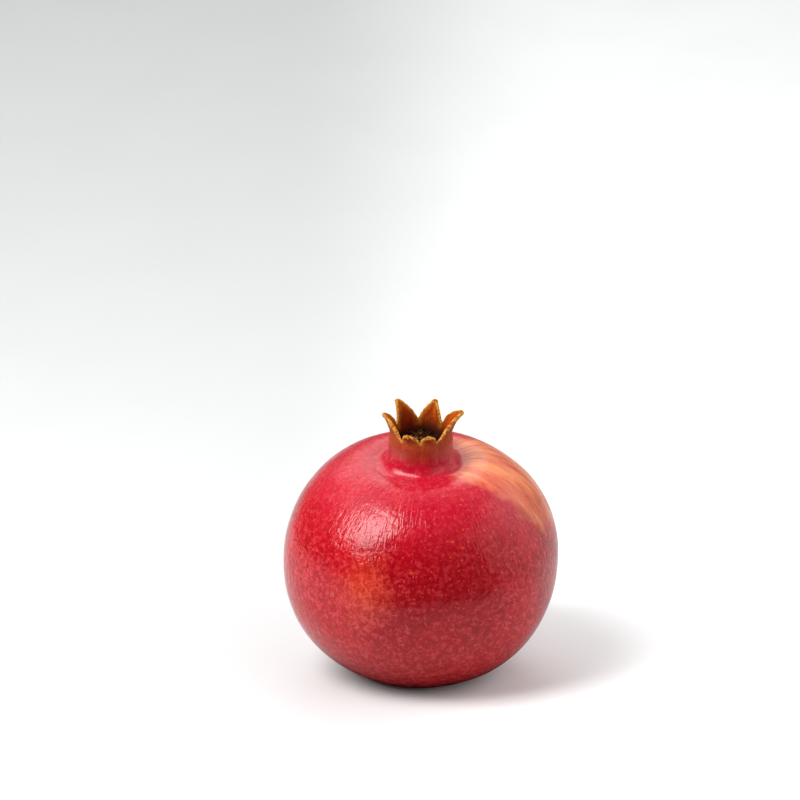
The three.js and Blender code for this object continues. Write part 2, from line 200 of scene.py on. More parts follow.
class PomegranateSizes(bpy.types.PropertyGroup):
    body_radius: length("Body radius", "Half the fruit's width", 0.045)
    body_top: length("Body top", "Height of the body over its widest level, without the neck", 0.040)
    body_base: length("Body base", "Depth of the body under its widest level", 0.042)
    top_power: strength("Top fullness", "2 is an ellipse, more is squarer", 2.1)
    base_power: strength("Base fullness", "2 is an ellipse, more is squarer", 2.2)
    lean: angle("Lean", "How far the crown leans to the front", 8)
    flattening: length("Flattening", "How far the base is pressed flat", 0.0022)
    dimple_depth: length("Dimple depth", "Depth of the hollow round the stalk", 0.0038)
    dimple_radius: length("Dimple radius", "Width of the hollow round the stalk", 0.005)
    stalk_radius: length("Stalk radius", "Half the cut stalk's width", 0.0023)
    stalk_length: length("Stalk length", "How far the cut stalk stands out of its hollow", 0.0012)
    dip_depth: length("Dip depth", "How far the shoulder is sunk towards the axis", 0.011)
    dip_radius: length("Dip radius", "Width of the shoulder's dip", 0.0146)
    neck_foot_radius: length("Neck foot radius", "Where the shoulder starts to rise into the neck", 0.016)
    neck_radius: length("Neck radius", "Half the neck's width", 0.0105)
    neck_start: length("Neck start", "Height at which the shoulder has turned upright", 0.0434)
    shoulder_drop: length("Shoulder drop", "How far below that the turn begins", 0.0092)
    shoulder_pull: strength("Shoulder pull", "How far the body's slope carries on in the turn", 0.54)
    mouth_radius: length("Mouth radius", "Half the crown's width at the notches", 0.0102)
    notch_height: length("Notch height", "Height of the notches over the widest level", 0.0455)
    wall: length("Wall", "Thickness of the crown at the notches", 0.0017)
    tip_wall: length("Tip thickness", "Thickness of a sepal at its tip", 0.0011)
    edge_wall: length("Edge thickness", "Thickness at a sepal's edges and in the notches", 0.0007)
    tip_width: length("Tip width", "Width of a sepal at its tip", 0.0011)
    floor_height: length("Floor height", "Height of the crown's floor over the widest level", 0.0365)
    floor_radius: length("Floor radius", "Half the width of the crown's floor", 0.005)
    cup: length("Cup", "How far a sepal's edges stand in from its middle", 0.0005)
    crease: length("Crease", "Depth of the creases under the notches", 0.00035)
    facet: length("Facets", "Height of the edges between the flat sides of the neck's foot", 0.0003)
    dents: length("Dents", "Height of the rind's broad unevenness", 0.00034)
    dent_spacing: length("Dent spacing", "Width of the rind's broad unevenness", 0.016)
    ripples: length("Ripples", "Height of the rind's small unevenness", 0.00005)
    ripple_spacing: length("Ripple spacing", "Width of the rind's small unevenness", 0.003)


class PomegranateStamens(bpy.types.PropertyGroup):
    count: bpy.props.IntProperty(name="Count", description="How many stamens there are", default=150, min=1,
                                 max=400)
    seed: bpy.props.IntProperty(name="Seed", description="Picks how the stamens lie", default=11, min=0)
    foot: length("Foot height", "Height of the lowest roots over the crown's floor", 0.0012)
    rows: length("Root band", "Height of the band that the roots cover", 0.0042)
    thread: length("Thread radius", "Half a thread's width", 0.00019)
    anther: length("Anther length", "Length of the pollen head on a thread's end", 0.0013)
    style_height: length("Style height", "Height of the style over the crown's floor", 0.0054)
    style_radius: length("Style radius", "Half the style's width", 0.0007)


class PomegranateColours(bpy.types.PropertyGroup):
    # Bright red is the rind's own lighter red, and also painted light where the lamplight patch lays it on
    # the left front.
    bright: colour("Bright red", "The rind where it had most sun", "B50F1D")
    deep: colour("Deep red", "The rind's darkest blotches", "990413")
    brick: colour("Brick red", "The lower rind", "BC181D")
    pink: colour("Pink red", "The rind near the neck", "B5152D")
    blush: colour("Blush", "The yellow-orange patch on the shoulder", "E08458")
    orange: colour("Orange", "The small orange patch on the front", "CE4628")
    speck: colour("Specks", "The short pale threads in the rind", "C84E52")
    neck: colour("Neck", "The neck's brown red", "96320E")
    sepal: colour("Sepal", "The sepals' outside", "983A08")
    inside: colour("Sepal inside", "The sepals' inner face", "B44206")
    # Painted shade: the inner face of the sepal that turns from the light.
    shaded_sepal: colour("Shaded sepal", "The inner face of the sepal that turns from the light", "701502")
    golden: colour("Golden", "The sepals' inner face near its edges", "AC5C10")
    rim: colour("Rim", "The sepals' dry edges and tips", "C08A36")
    # Dark brown, and where it fills the crown's depths also painted shade.
    hollow: colour("Hollow", "The inside of the crown", "30120A")
    thread: colour("Stamen thread", "The dried stamens' threads", "4A2810")
    anther: colour("Anther", "The dried pollen heads", "8C5C2A")
    wood: colour("Stalk", "The cut stalk", "6B4A2C")
    floor: colour("Surface", "The surface the fruit stands on", "F6F7F7")


class PomegranateStage(bpy.types.PropertyGroup):
    sight_elevation: angle("Elevation", "How steeply the camera looks down at the fruit", 20)
    camera_distance: length("Camera distance", "From the camera to the fruit's middle", 5.0)
    frame_width: length("Frame width", "What the frame's width takes in at the fruit", 0.2622)
    key: strength("Key brightness", "Brightness of the softbox on the left", 7.6)
    top: strength("Top brightness", "Brightness of the panel above", 1.42)
    upper: strength("Upper brightness", "Brightness of the panel above on the left", 1.3)
    core: strength("Key core brightness", "What the softbox's middle adds", 6.6)
    fill: strength("Fill brightness", "Brightness of the soft fill, which no gloss mirrors", 1.25)
    bounce: strength("Floor bounce", "Share of the surface's light that reaches the fruit", 0.62)
    left_painted_shade: strength("Surface on the left", "How pale the surface is on the bright side", 0.675)
    side: strength("Side brightness", "Brightness of the panel on the right", 1.02)
    back: strength("Surround brightness", "Brightness of the white surround behind", 0.7)
    front: strength("Front brightness", "Brightness of the surround on the camera's side", 0.04)


def settings():
    """The fruit's sizes, its stamens' settings, its colours and the stage's settings."""
    return tuple(getattr(bpy.context.scene, name) for name in GROUPS)


def mix(a, b, share):
    return a + (b - a) * share


def smoothstep(value, low, high):
    share = np.clip((value - low) / (high - low), 0, 1)
    return share * share * (3 - 2 * share)


def bezier(points, count):
    """Points along a cubic curve, without its start."""
    t = np.linspace(0, 1, count + 1)[1:, None]
    a, b, c, d = (np.array(p) for p in points)
    return a * (1 - t) ** 3 + 3 * b * t * (1 - t) ** 2 + 3 * c * t ** 2 * (1 - t) + d * t ** 3


# The rind's form. Everything is made round the fruit's own axis first, with z = 0 at the widest level.


def body_point(s, turn):
    """The body's radius and height at an angle from its base, before the dimple and the neck."""
    across, up = np.sin(turn), -np.cos(turn)
    power = np.where(up > 0, s.top_power, s.base_power)
    size = (across ** power + np.abs(up) ** power) ** (-1 / power)
    return s.body_radius * across * size, np.where(up > 0, s.body_top, s.body_base) * up * size


def neck_foot(s):
    """The angle at which the body has narrowed to the neck's foot."""
    turns = np.linspace(math.pi / 2, math.pi, FOOT_STEPS)
    radii = body_point(s, turns)[0]
    return float(np.interp(-s.neck_foot_radius, -radii, turns))


def hollowed_point(s, turn):
    """The body's point at an angle, with the stalk's hollow and the shoulder's dip."""
    r, z = body_point(s, turn)
    dimple = s.dimple_depth * np.exp(-((r / s.dimple_radius) ** 2))
    dip = s.dip_depth * np.maximum(z, 0) / s.body_top * np.exp(-((r / s.dip_radius) ** 2))
    return r, z + np.where(z < 0, dimple, -dip)


def outside_rows(s):
    """The outside's profile up to the notches: radius, height and share of the neck's section."""
    last = neck_foot(s)
    even = np.linspace(0, 1, BODY_ROWS + 1)
    eased = (even + (1 - np.cos(np.pi * even)) / 2) / 2
    r, z = hollowed_point(s, mix(FIRST_TURN, last, eased))
    body = np.column_stack([r, z, np.zeros_like(r)])
    r_next, z_next = hollowed_point(s, np.array([last + SLOPE_STEP]))
    slope = (z_next[0] - z[-1]) / (r[-1] - r_next[0])
    pull = (s.neck_foot_radius - s.neck_radius) * s.shoulder_pull
    curve = bezier(
        (
            (r[-1], z[-1]),
            (r[-1] - pull, z[-1] + pull * slope),
            (s.neck_radius, s.neck_start - s.shoulder_drop),
            (s.neck_radius, s.neck_start),
        ),
        SHOULDER_ROWS,
    )
    share = np.linspace(0, 1, SHOULDER_ROWS + 1)[1:]
    shoulder = np.column_stack([curve, smoothstep(share, 0, 1)])
    share = np.linspace(0, 1, TUBE_ROWS + 1)[1:]
    tube = np.column_stack([
        mix(s.neck_radius, s.mouth_radius, share),
        mix(s.neck_start, s.notch_height, share),
        np.ones_like(share),
    ])
    return np.vstack([body, shoulder, tube])


def inside_rows(s):
    """The inside's profile from just under the notches down to the middle of the floor."""
    mouth = s.mouth_radius - s.wall
    wall = bezier(
        (
            (mouth, s.notch_height),
            (mouth, s.notch_height - 5 * MM),
            (mouth - 0.6 * MM, s.floor_height),
            (s.floor_radius, s.floor_height),
        ),
        INSIDE_ROWS,
    )
    floor = [(s.floor_radius * share, s.floor_height) for share in (0.8, 0.6, 0.4, 0.2, 0.06)]
    rows = np.vstack([wall, floor])
    return np.column_stack([rows, np.ones(len(rows))])


def columns():
    """Every column's number, its place across its sepal from -1 to 1, and the directions of its notches."""
    number = np.arange(COLUMNS)
    across = 2 * (number % COLUMNS_PER_SEPAL) / COLUMNS_PER_SEPAL - 1
    notches = np.radians([sepal["notches"] for sepal in SEPALS])[number // COLUMNS_PER_SEPAL]
    return number, across, notches.T


def ring(s, row, thinning=0):
    """One ring of the rind: its points and their directions. Thinning sets it out in the notches."""
    r, z, neck = row
    number, across, (first, second) = columns()
    bunched = mix(first, second, (across + 1) / 2)
    even = np.radians(SEPALS[0]["notches"][0] + 360 * number / COLUMNS)
    direction = mix(even, bunched, neck)
    level = z / (s.body_top if z > 0 else s.body_base)
    swell = sum(h * MM * np.cos(n * (direction - math.radians(turn))) for n, h, turn in SWELLS)
    crease = -s.crease * neck ** 2 * np.abs(across) ** 3
    sides, edge = FACETS
    facet = 4 * neck * (1 - neck) * s.facet * np.cos(sides * (direction - math.radians(edge)))
    out = mix(swell * max(0, 1 - level ** 2), crease, neck) + facet + thinning * across ** 4
    radius = r + out * min(1, r / s.dimple_radius)
    points = np.column_stack([radius * np.cos(direction), radius * np.sin(direction), np.full(COLUMNS, z)])
    return points, direction


def sepal_points(s, sepal, across, up, face):
    """Points of a sepal's outer (face 0) or inner (face 1) side."""
    foot = math.radians(sepal["foot"])
    turn = math.radians(sepal["flare"]) - foot
    lean = foot + turn * up
    span = sepal["length"] * MM
    foot_radius = s.mouth_radius - s.crease * np.abs(across) ** 3 * (1 - up)
    r = foot_radius + (math.cos(foot) - np.cos(lean)) * span / turn
    z = s.notch_height + (np.sin(lean) - math.sin(foot)) * span / turn
    first, second = sepal["notches"]
    half_foot = math.radians(second - first) / 2
    half_tip = s.tip_width / 2 / r
    middle = np.radians(mix((first + second) / 2, sepal["tip"], up))
    direction = middle + across * mix(half_foot, half_tip, up ** sepal["taper"])
    knob = TIP_KNOB * MM * smoothstep(up, 0.84, 0.97)
    edge = mix(s.edge_wall, sepal["edge"] * MM, smoothstep(up, 0, 0.4) * (1 - smoothstep(up, 0.75, 1)))
    thickness = mix(mix(s.wall, s.tip_wall, up), edge, across ** 4)
    inward = face * thickness + s.cup * across ** 2 * 4 * up * (1 - up) + (2 * face - 1) * knob
    wave = np.sin(across * 7 + sepal["tip"]) * np.sin(up * 5 + sepal["tip"])
    inward = inward + FACE_WAVE * MM * wave * smoothstep(up, 0, 0.3)
    r = r - inward * np.cos(lean)
    z = z + inward * np.sin(lean) * np.minimum(1, 3 * up)
    return np.stack([r * np.cos(direction), r * np.sin(direction), z], axis=-1)


class Surface:
    """The rind's points and faces as they are added, with what its finish needs at every point."""

    def __init__(self):
        self.points, self.faces, self.traits, self.count = [], [], [], 0

    def add(self, points, direction, path, inner, near):
        """Adds points with the way from the neck's foot, 1 inside the crown, and the way to the next edge."""
        points = np.asarray(points).reshape(-1, 3)
        traits = np.empty((len(points), 6))
        traits[:, 0], traits[:, 1], traits[:, 2] = path, inner, near
        traits[:, 3], traits[:, 4] = np.cos(direction), np.sin(direction)
        traits[:, 5] = points[:, 2]
        first = self.count
        self.points.append(points)
        self.traits.append(traits)
        self.count += len(points)
        return np.arange(first, self.count)

    def quads(self, a, b, c, d):
        self.faces += np.column_stack([a, b, c, d]).tolist()

    def join_rings(self, lower, upper):
        self.quads(lower, np.roll(lower, -1), np.roll(upper, -1), upper)

    def point(self, index):
        return np.vstack(self.points)[index]


def ways_along(rows):
    """The way to each row of a profile from its first one."""
    return np.concatenate([[0], np.cumsum(np.hypot(*np.diff(rows[:, :2], axis=0).T))])


def add_outside(surface, s):
    """The outside up to the notches: its last ring, and the notches' way from the neck's foot."""
    outside = outside_rows(s)
    path = ways_along(outside)
    path -= path[BODY_ROWS]
    lower = None
    pole = surface.add([[0, 0, outside[0, 1]]], 0, path[0], 0, FAR)[0]
    for row, way in zip(outside, path):
        points, direction = ring(s, row)
        upper = surface.add(points, direction, way, 0, notch_distance(s, path[-1] - way))
        if lower is None:
            surface.faces += [[pole, b, a] for a, b in zip(upper, np.roll(upper, -1))]
        else:
            surface.join_rings(lower, upper)
        lower = upper
    return lower, path[-1]


def add_inside(surface, s, notch_path):
    """The inside from the notches to the middle of the floor: its first ring."""
    mouth_row = np.array([s.mouth_radius - s.wall, s.notch_height, 1])
    thinning = s.wall - s.edge_wall
    points, direction = ring(s, mouth_row, thinning)
    mouth = surface.add(points, direction, notch_path, 1, notch_distance(s, 0))
    lower = mouth
    rows = np.vstack([mouth_row, inside_rows(s)])
    for row, way in zip(rows[1:], notch_path - ways_along(rows)[1:]):
        thinned = thinning * smoothstep(row[1], s.notch_height - THINNED_DEPTH, s.notch_height)
        points, direction = ring(s, row, thinned)
        upper = surface.add(points, direction, way, 1, notch_distance(s, notch_path - way))
        surface.join_rings(lower, upper)
        lower = upper
    middle = surface.add([[0, 0, s.floor_height]], 0, way, 1, FAR)[0]
    surface.faces += [[a, b, middle] for a, b in zip(lower, np.roll(lower, -1))]
    return mouth


def build_rind(s):
    """The whole rind as one closed surface, from the base over the crown's edges to the crown's floor."""
    surface = Surface()
    outer_mouth, notch_path = add_outside(surface, s)
    inner_mouth = add_inside(surface, s, notch_path)
    share = np.arange(1, RIM_ROWS)[:, None] / RIM_ROWS
    notch_rims = []
    for first in range(0, COLUMNS, COLUMNS_PER_SEPAL):
        a, b = (surface.point(mouth[first]) for mouth in (outer_mouth, inner_mouth))
        turn = math.atan2(a[1], a[0])
        notch_rims.append(surface.add(mix(a, b, share), turn, notch_path, share[:, 0], 0))
    for k, sepal in enumerate(SEPALS):
        add_sepal(surface, s, k, sepal, (outer_mouth, inner_mouth), notch_rims, notch_path)
    return surface


def notch_distance(s, below):
    """How far each column's point is from the next notch, at a level below the notches."""
    _, across, (first, second) = columns()
    half_width = s.mouth_radius * (second - first) / 2
    return np.hypot((1 - np.abs(across)) * half_width, below)


def add_sepal(surface, s, k, sepal, mouths, notch_rims, notch_path):
    """One sepal: its outer and inner faces, and the rounded rim between them."""
    width = COLUMNS_PER_SEPAL
    across = np.linspace(-1, 1, width + 1)
    foot = [(k * width + i) % COLUMNS for i in range(width + 1)]
    first, second = (math.radians(a) for a in sepal["notches"])
    fibre = mix(first, second, (across + 1) / 2)
    half_width = s.mouth_radius * (second - first) / 2
    grids = []
    for face, mouth in enumerate(mouths):
        rows = [mouth[foot]]
        for j in range(1, SEPAL_ROWS + 1):
            up = j / SEPAL_ROWS
            points = sepal_points(s, sepal, across, np.full_like(across, up), face)
            near = np.minimum((1 - np.abs(across)) * half_width * (1 - up ** sepal["taper"]),
                              (1 - up) * sepal["length"] * MM)
            rows.append(surface.add(points, fibre, notch_path + up * sepal["length"] * MM, face, near))
        grids.append(np.array(rows))
    outer, inner = grids
    for j in range(SEPAL_ROWS):
        surface.quads(outer[j][:-1], outer[j][1:], outer[j + 1][1:], outer[j + 1][:-1])
        surface.quads(inner[j][1:], inner[j][:-1], inner[j + 1][:-1], inner[j + 1][1:])
    rims = notch_rims[k], notch_rims[(k + 1) % len(SEPALS)]
    add_rim(surface, sepal, grids, rims, fibre, notch_path)


def add_rim(surface, sepal, grids, notch_rims, fibre, notch_path):
    """A sepal's rim: a lumpy half round from its outer to its inner face, up one side and down the other."""
    outer, inner = grids
    width = COLUMNS_PER_SEPAL
    places = [(j, 0) for j in range(1, SEPAL_ROWS)]
    places += [(SEPAL_ROWS, i) for i in range(width + 1)]
    places += [(j, width) for j in range(SEPAL_ROWS - 1, 0, -1)]
    every = np.vstack(surface.points)
    a = every[[outer[p] for p in places]]
    b = every[[inner[p] for p in places]]
    centre = (a + b) / 2
    ends = every[[outer[0][0], outer[0][-1]]]
    along = np.gradient(np.vstack([ends[:1], centre, ends[1:]]), axis=0)[1:-1]
    out = np.cross(along, a - b)
    out /= np.linalg.norm(out, axis=1)[:, None]
    heart = every[outer[SEPAL_ROWS // 2, width // 2]]
    out *= np.sign(np.sum(out * (centre - heart), axis=1))[:, None]
    up = np.array([j / SEPAL_ROWS for j, _ in places])
    lumps = 0.36 + 0.10 * np.sin(up * 27 + 3 * sepal["tip"]) + 0.06 * np.sin(up * 61 + sepal["tip"])
    bulge = (np.linalg.norm(a - b, axis=1) * lumps * smoothstep(up, 0, 0.35))[:, None]
    spread = fibre[[i for _, i in places]]
    path = notch_path + up * sepal["length"] * MM
    strips = [np.array([outer[p] for p in places])]
    for row in range(1, RIM_ROWS):
        share = row / RIM_ROWS
        turn = math.pi * share
        points = centre + (a - b) / 2 * math.cos(turn) + out * bulge * math.sin(turn)
        strips.append(surface.add(points, spread, path, share, 0))
    strips.append(np.array([inner[p] for p in places]))
    start = [outer[0][0], *notch_rims[0], inner[0][0]]
    end = [outer[0][-1], *notch_rims[1], inner[0][-1]]
    full = [np.concatenate([[start[row]], strips[row], [end[row]]]) for row in range(RIM_ROWS + 1)]
    for row in range(RIM_ROWS):
        surface.quads(full[row][:-1], full[row][1:], full[row + 1][1:], full[row + 1][:-1])


def leaned(s, points):
    """Points turned from the fruit's own axis to the way it stands, before it is set down."""
    x, y, z = np.asarray(points).T
    return np.column_stack([
        x,
        y * math.cos(s.lean) - z * math.sin(s.lean),
        y * math.sin(s.lean) + z * math.cos(s.lean),
    ])


def resting_shift(s):
    """How far the leaned fruit moves so that it stands on z = 0 with the middle of its box at the origin."""
    rings = [ring(s, row)[0] for row in outside_rows(s)]
    points = leaned(s, np.vstack(rings))
    low, high = points.min(0), points.max(0)
    return np.array([-(low[0] + high[0]) / 2, -(low[1] + high[1]) / 2, -low[2] - s.flattening])


def set_down(s, points):
    placed = leaned(s, points) + resting_shift(s)
    placed[:, 2] = np.maximum(placed[:, 2], 0)
    return placed


def new_piece(name, points, faces, material):
    """A mesh object in the scene, with smooth faces and one material."""
    mesh = bpy.data.meshes.new(name)
    mesh.from_pydata(np.asarray(points).tolist(), [], [list(map(int, f)) for f in faces])
    mesh.shade_smooth()
    piece = bpy.data.objects.new(name, mesh)
    bpy.context.collection.objects.link(piece)
    mesh.materials.append(material)
    return piece


def add_trait(mesh, name, kind, values):
    trait = mesh.attributes.new(name, kind, "POINT")
    field = "vector" if kind == "FLOAT_VECTOR" else "value"
    trait.data.foreach_set(field, np.ascontiguousarray(values, dtype=np.float32).ravel())


def finish_piece(piece):
    """Hands a finished piece to the frame: it rides on the fruit and stands for the solid."""
    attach(piece, BODY)
    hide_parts(NODE)


def apply_tree(piece, tree, values):
    """Runs a node tree on a piece with its named inputs set, and keeps the result as a plain mesh."""
    modifier = piece.modifiers.new(tree.name, "NODES")
    modifier.node_group = tree
    sockets = {i.name: i.identifier for i in tree.interface.items_tree if i.in_out == "INPUT"}
    for name, value in values.items():
        modifier[sockets[name]] = value
    evaluated = piece.evaluated_get(bpy.context.evaluated_depsgraph_get())
    mesh = bpy.data.meshes.new_from_object(evaluated)
    piece.modifiers.remove(modifier)
    old = piece.data
    mesh.name = old.name
    piece.data = mesh
    bpy.data.meshes.remove(old)


# Helpers for node trees, of shaders and of geometry alike.


def add_node(tree, kind, inputs=(), **values):
    """A node with its settings, and each input either set to a value or joined to another node's output."""
    node = tree.nodes.new(kind)
    for name, value in values.items():
        setattr(node, name, value)
    for key, value in dict(inputs).items():
        if isinstance(value, bpy.types.NodeSocket):
            tree.links.new(value, node.inputs[key])
        else:
            node.inputs[key].default_value = value
    node.location = (180 * (len(tree.nodes) % 12), -220 * (len(tree.nodes) // 12))
    return node


def maths(tree, operation, *values):
    return add_node(tree, "ShaderNodeMath", enumerate(values), operation=operation).outputs[0]


def times(tree, first, *others):
    """The product of values."""
    for other in others:
        first = maths(tree, "MULTIPLY", first, other)
    return first


def vectors(tree, operation, *values, **named):
    """A vector operation's result. Named inputs are for those that take a plain number, such as Scale."""
    inputs = {**dict(enumerate(values)), **named}
    node = add_node(tree, "ShaderNodeVectorMath", inputs, operation=operation)
    return node.outputs["Value" if operation == "LENGTH" else "Vector"]


def ramp(tree, value, low, high, to_low=0.0, to_high=1.0, smooth=True):
    """A value's place between two limits, eased at both ends."""
    kind = "SMOOTHSTEP" if smooth else "LINEAR"
    inputs = {"Value": value, "From Min": low, "From Max": high, "To Min": to_low, "To Max": to_high}
    return add_node(tree, "ShaderNodeMapRange", inputs, interpolation_type=kind).outputs["Result"]


def noise(tree, vector, scale, detail=2.0, roughness=0.5, distortion=0.0):
    inputs = {"Vector": vector, "Scale": scale, "Detail": detail, "Roughness": roughness,
              "Distortion": distortion}
    return add_node(tree, "ShaderNodeTexNoise", inputs).outputs


def blend(tree, share, below, above):
    """Two colours, mixed by a mask."""
    node = add_node(tree, "ShaderNodeMix", data_type="RGBA", clamp_factor=True)
    for socket, value in ((node.inputs[0], share), (node.inputs[6], below), (node.inputs[7], above)):
        if isinstance(value, bpy.types.NodeSocket):
            tree.links.new(value, socket)
        elif socket == node.inputs[0]:
            socket.default_value = value
        else:
            socket.default_value = (*value, 1)
    return node.outputs[2]


def tint(tree, below, above, *shares):
    """A colour with another laid over it as far as the product of the shares says."""
    return blend(tree, times(tree, *shares), below, above)


def mix_values(tree, share, below, above):
    """Two values, mixed by a mask."""
    return add_node(tree, "ShaderNodeMix", {0: share, 2: below, 3: above}, data_type="FLOAT").outputs[0]


def attribute(tree, name, output="Fac"):
    return add_node(tree, "ShaderNodeAttribute", attribute_name=name).outputs[output]


def new_group(name, inputs, outputs):
    """A shader group with named inputs, each given its socket type and value, and named outputs."""
    group = bpy.data.node_groups.new(name, "ShaderNodeTree")
    for label, (kind, value) in inputs.items():
        socket = group.interface.new_socket(name=label, in_out="INPUT", socket_type=kind)
        if value is not None:
            socket.default_value = value
    for label, kind in outputs.items():
        group.interface.new_socket(name=label, in_out="OUTPUT", socket_type=kind)
    return group, group.nodes.new("NodeGroupInput").outputs, group.nodes.new("NodeGroupOutput").inputs


FLOAT, VECTOR, COLOUR = "NodeSocketFloat", "NodeSocketVector", "NodeSocketColor"


def use_group(tree, name, **inputs):
    """A shader group placed in a tree; words in its inputs' names are joined by underscores here."""
    node = add_node(tree, "ShaderNodeGroup", node_tree=bpy.data.node_groups[name])
    for key, value in inputs.items():
        socket = node.inputs[key.replace("_", " ")]
        if isinstance(value, bpy.types.NodeSocket):
            tree.links.new(value, socket)
        else:
            socket.default_value = value
    return node.outputs


def patch(tree, place, name):
    """The mask of one of the named patches."""
    return use_group(tree, "Patch", Vector=place, **PATCHES[name])["Mask"]


def raise_bumps(tree, shader, height, distance=1.0, strength=1.0):
    """Gives a finish its fine relief."""
    bump = add_node(tree, "ShaderNodeBump", {"Height": height, "Distance": distance, "Strength": strength})
    tree.links.new(bump.outputs[0], shader.inputs["Normal"])


# Effects that more than one finish uses.


def make_specks_group():
    """Short pale strokes strewn over a surface."""
    group, given, result = new_group(
        "Specks",
        {"Vector": (VECTOR, None), "Spacing": (FLOAT, 0.0018), "Size": (FLOAT, 0.2), "Share": (FLOAT, 0.5),
         "Stretch": (VECTOR, (1, 1, 1))},
        {"Mask": FLOAT},
    )
    wander = noise(group, given["Vector"], 900, 1)["Color"]
    wander = vectors(group, "MULTIPLY_ADD", wander, (0.0009, 0.0009, 0.0009), given["Vector"])
    stretched = vectors(group, "MULTIPLY", wander, given["Stretch"])
    scale = maths(group, "DIVIDE", 1, given["Spacing"])
    cells = add_node(group, "ShaderNodeTexVoronoi", {"Vector": stretched, "Scale": scale}).outputs
    pick = add_node(group, "ShaderNodeSeparateColor", {"Color": cells["Color"]}).outputs
    kept = maths(group, "LESS_THAN", pick["Red"], given["Share"])
    size = times(group, given["Size"], ramp(group, pick["Green"], 0, 1, 0.5, 1.2, False))
    core = times(group, size, 0.35)
    dot = ramp(group, cells["Distance"], size, core)
    group.links.new(times(group, dot, kept), result["Mask"])


def make_fibres_group():
    """Fine streaks that run up from the neck along the sepals."""
    group, given, result = new_group(
        "Fibres",
        {"Along": (VECTOR, None), "Density": (FLOAT, 1500.0), "Stretch": (FLOAT, 0.14)},
        {"Mask": FLOAT, "Height": FLOAT},
    )
    shares = add_node(group, "ShaderNodeCombineXYZ", {0: 1, 1: 1, 2: given["Stretch"]}).outputs[0]
    along = vectors(group, "MULTIPLY", given["Along"], shares)
    fine = noise(group, along, given["Density"], 2, 0.6)[0]
    coarse = noise(group, along, times(group, given["Density"], 0.3), 1, 0.5)[0]
    both = maths(group, "MULTIPLY_ADD", coarse, 0.5, times(group, fine, 0.5))
    group.links.new(ramp(group, both, 0.38, 0.62), result["Mask"])
    group.links.new(both, result["Height"])


def make_pores_group():
    """The rind's close pores and fine wrinkles, as a height and as a mask of what lies low, for painted shade
    in them.
    """
    group, given, result = new_group(
        "Pores",
        {"Vector": (VECTOR, None), "Spacing": (FLOAT, 0.0009)},
        {"Height": FLOAT, "Low": FLOAT},
    )
    scale = maths(group, "DIVIDE", 1, given["Spacing"])
    bend = noise(group, given["Vector"], times(group, scale, 0.35), 1)["Color"]
    bent = vectors(group, "MULTIPLY_ADD", bend, (0.0016, 0.0016, 0.0016), given["Vector"])
    wrinkles = noise(group, bent, scale, 2, 0.55, 0.6)[0]
    inputs = {"Vector": bent, "Scale": times(group, scale, 1.5)}
    cells = add_node(group, "ShaderNodeTexVoronoi", inputs, feature="SMOOTH_F1").outputs
    pits = ramp(group, cells["Distance"], 0.1, 0.45)
    height = maths(group, "MULTIPLY_ADD", pits, 0.3, times(group, wrinkles, 0.7))
    group.links.new(height, result["Height"])
    group.links.new(ramp(group, height, 0.62, 0.42), result["Low"])


def make_patch_group():
    """A soft round patch about a point, with a ragged edge."""
    group, given, result = new_group(
        "Patch",
        {"Vector": (VECTOR, None), "Centre": (VECTOR, (0, 0, 0)), "Stretch": (VECTOR, (1, 1, 1)),
         "Radius": (FLOAT, 0.02), "Softness": (FLOAT, 0.6), "Raggedness": (FLOAT, 0.5)},
        {"Mask": FLOAT},
    )
    offset = vectors(group, "SUBTRACT", given["Vector"], given["Centre"])
    away = vectors(group, "LENGTH", vectors(group, "MULTIPLY", offset, given["Stretch"]))
    ragged = noise(group, given["Vector"], 110, 4, 0.65)[0]
    push = times(group, maths(group, "SUBTRACT", ragged, 0.5), given["Raggedness"])
    share = maths(group, "ADD", maths(group, "DIVIDE", away, given["Radius"]), push)
    inner = maths(group, "SUBTRACT", 1, given["Softness"])
    group.links.new(ramp(group, share, 1, inner), result["Mask"])


def new_material(name):
    material = bpy.data.materials.new(name)
    material.use_nodes = True
    tree = material.node_tree
    return material, tree, tree.nodes["Principled BSDF"]


def rind_material(c):
    """The rind, from the red of the body to the dry brown and gold of the crown."""
    material, tree, shader = new_material("Pomegranate rind")
    place = add_node(tree, "ShaderNodeTexCoord").outputs["Object"]
    path, near, level = (attribute(tree, name) for name in ("path", "near", "level"))
    along = attribute(tree, "along", "Vector")
    fibres = use_group(tree, "Fibres", Along=along)
    streaks = use_group(tree, "Fibres", Along=along, Density=420.0, Stretch=0.12)
    lines = use_group(tree, "Fibres", Along=along, Density=1150.0, Stretch=0.06)
    pores = use_group(tree, "Pores", Vector=place, Spacing=0.0006)
    mottle = noise(tree, place, 580, 3, 0.75, 0.4)[0]

    red = body_colour(tree, c, place, path, level, (streaks, lines), pores, mottle)
    outer = neck_colour(tree, c, red, path, fibres)
    tree.links.new(rimmed(tree, c, outer, place, near, fibres), shader.inputs["Base Color"])

    dryness = ramp(tree, path, *SKIN_DRIES)
    gloss = ramp(tree, mottle, 0.3, 0.7, 0.13, 0.2)
    matt = ramp(tree, fibres["Height"], 0.3, 0.6, 0.6, 0.75)
    tree.links.new(mix_values(tree, dryness, gloss, matt), shader.inputs["Roughness"])
    shader.inputs["Specular IOR Level"].default_value = 0.3
    height = skin_height(tree, place, along, path, level, pores, fibres, dryness, mottle)
    raise_bumps(tree, shader, height)
    return material


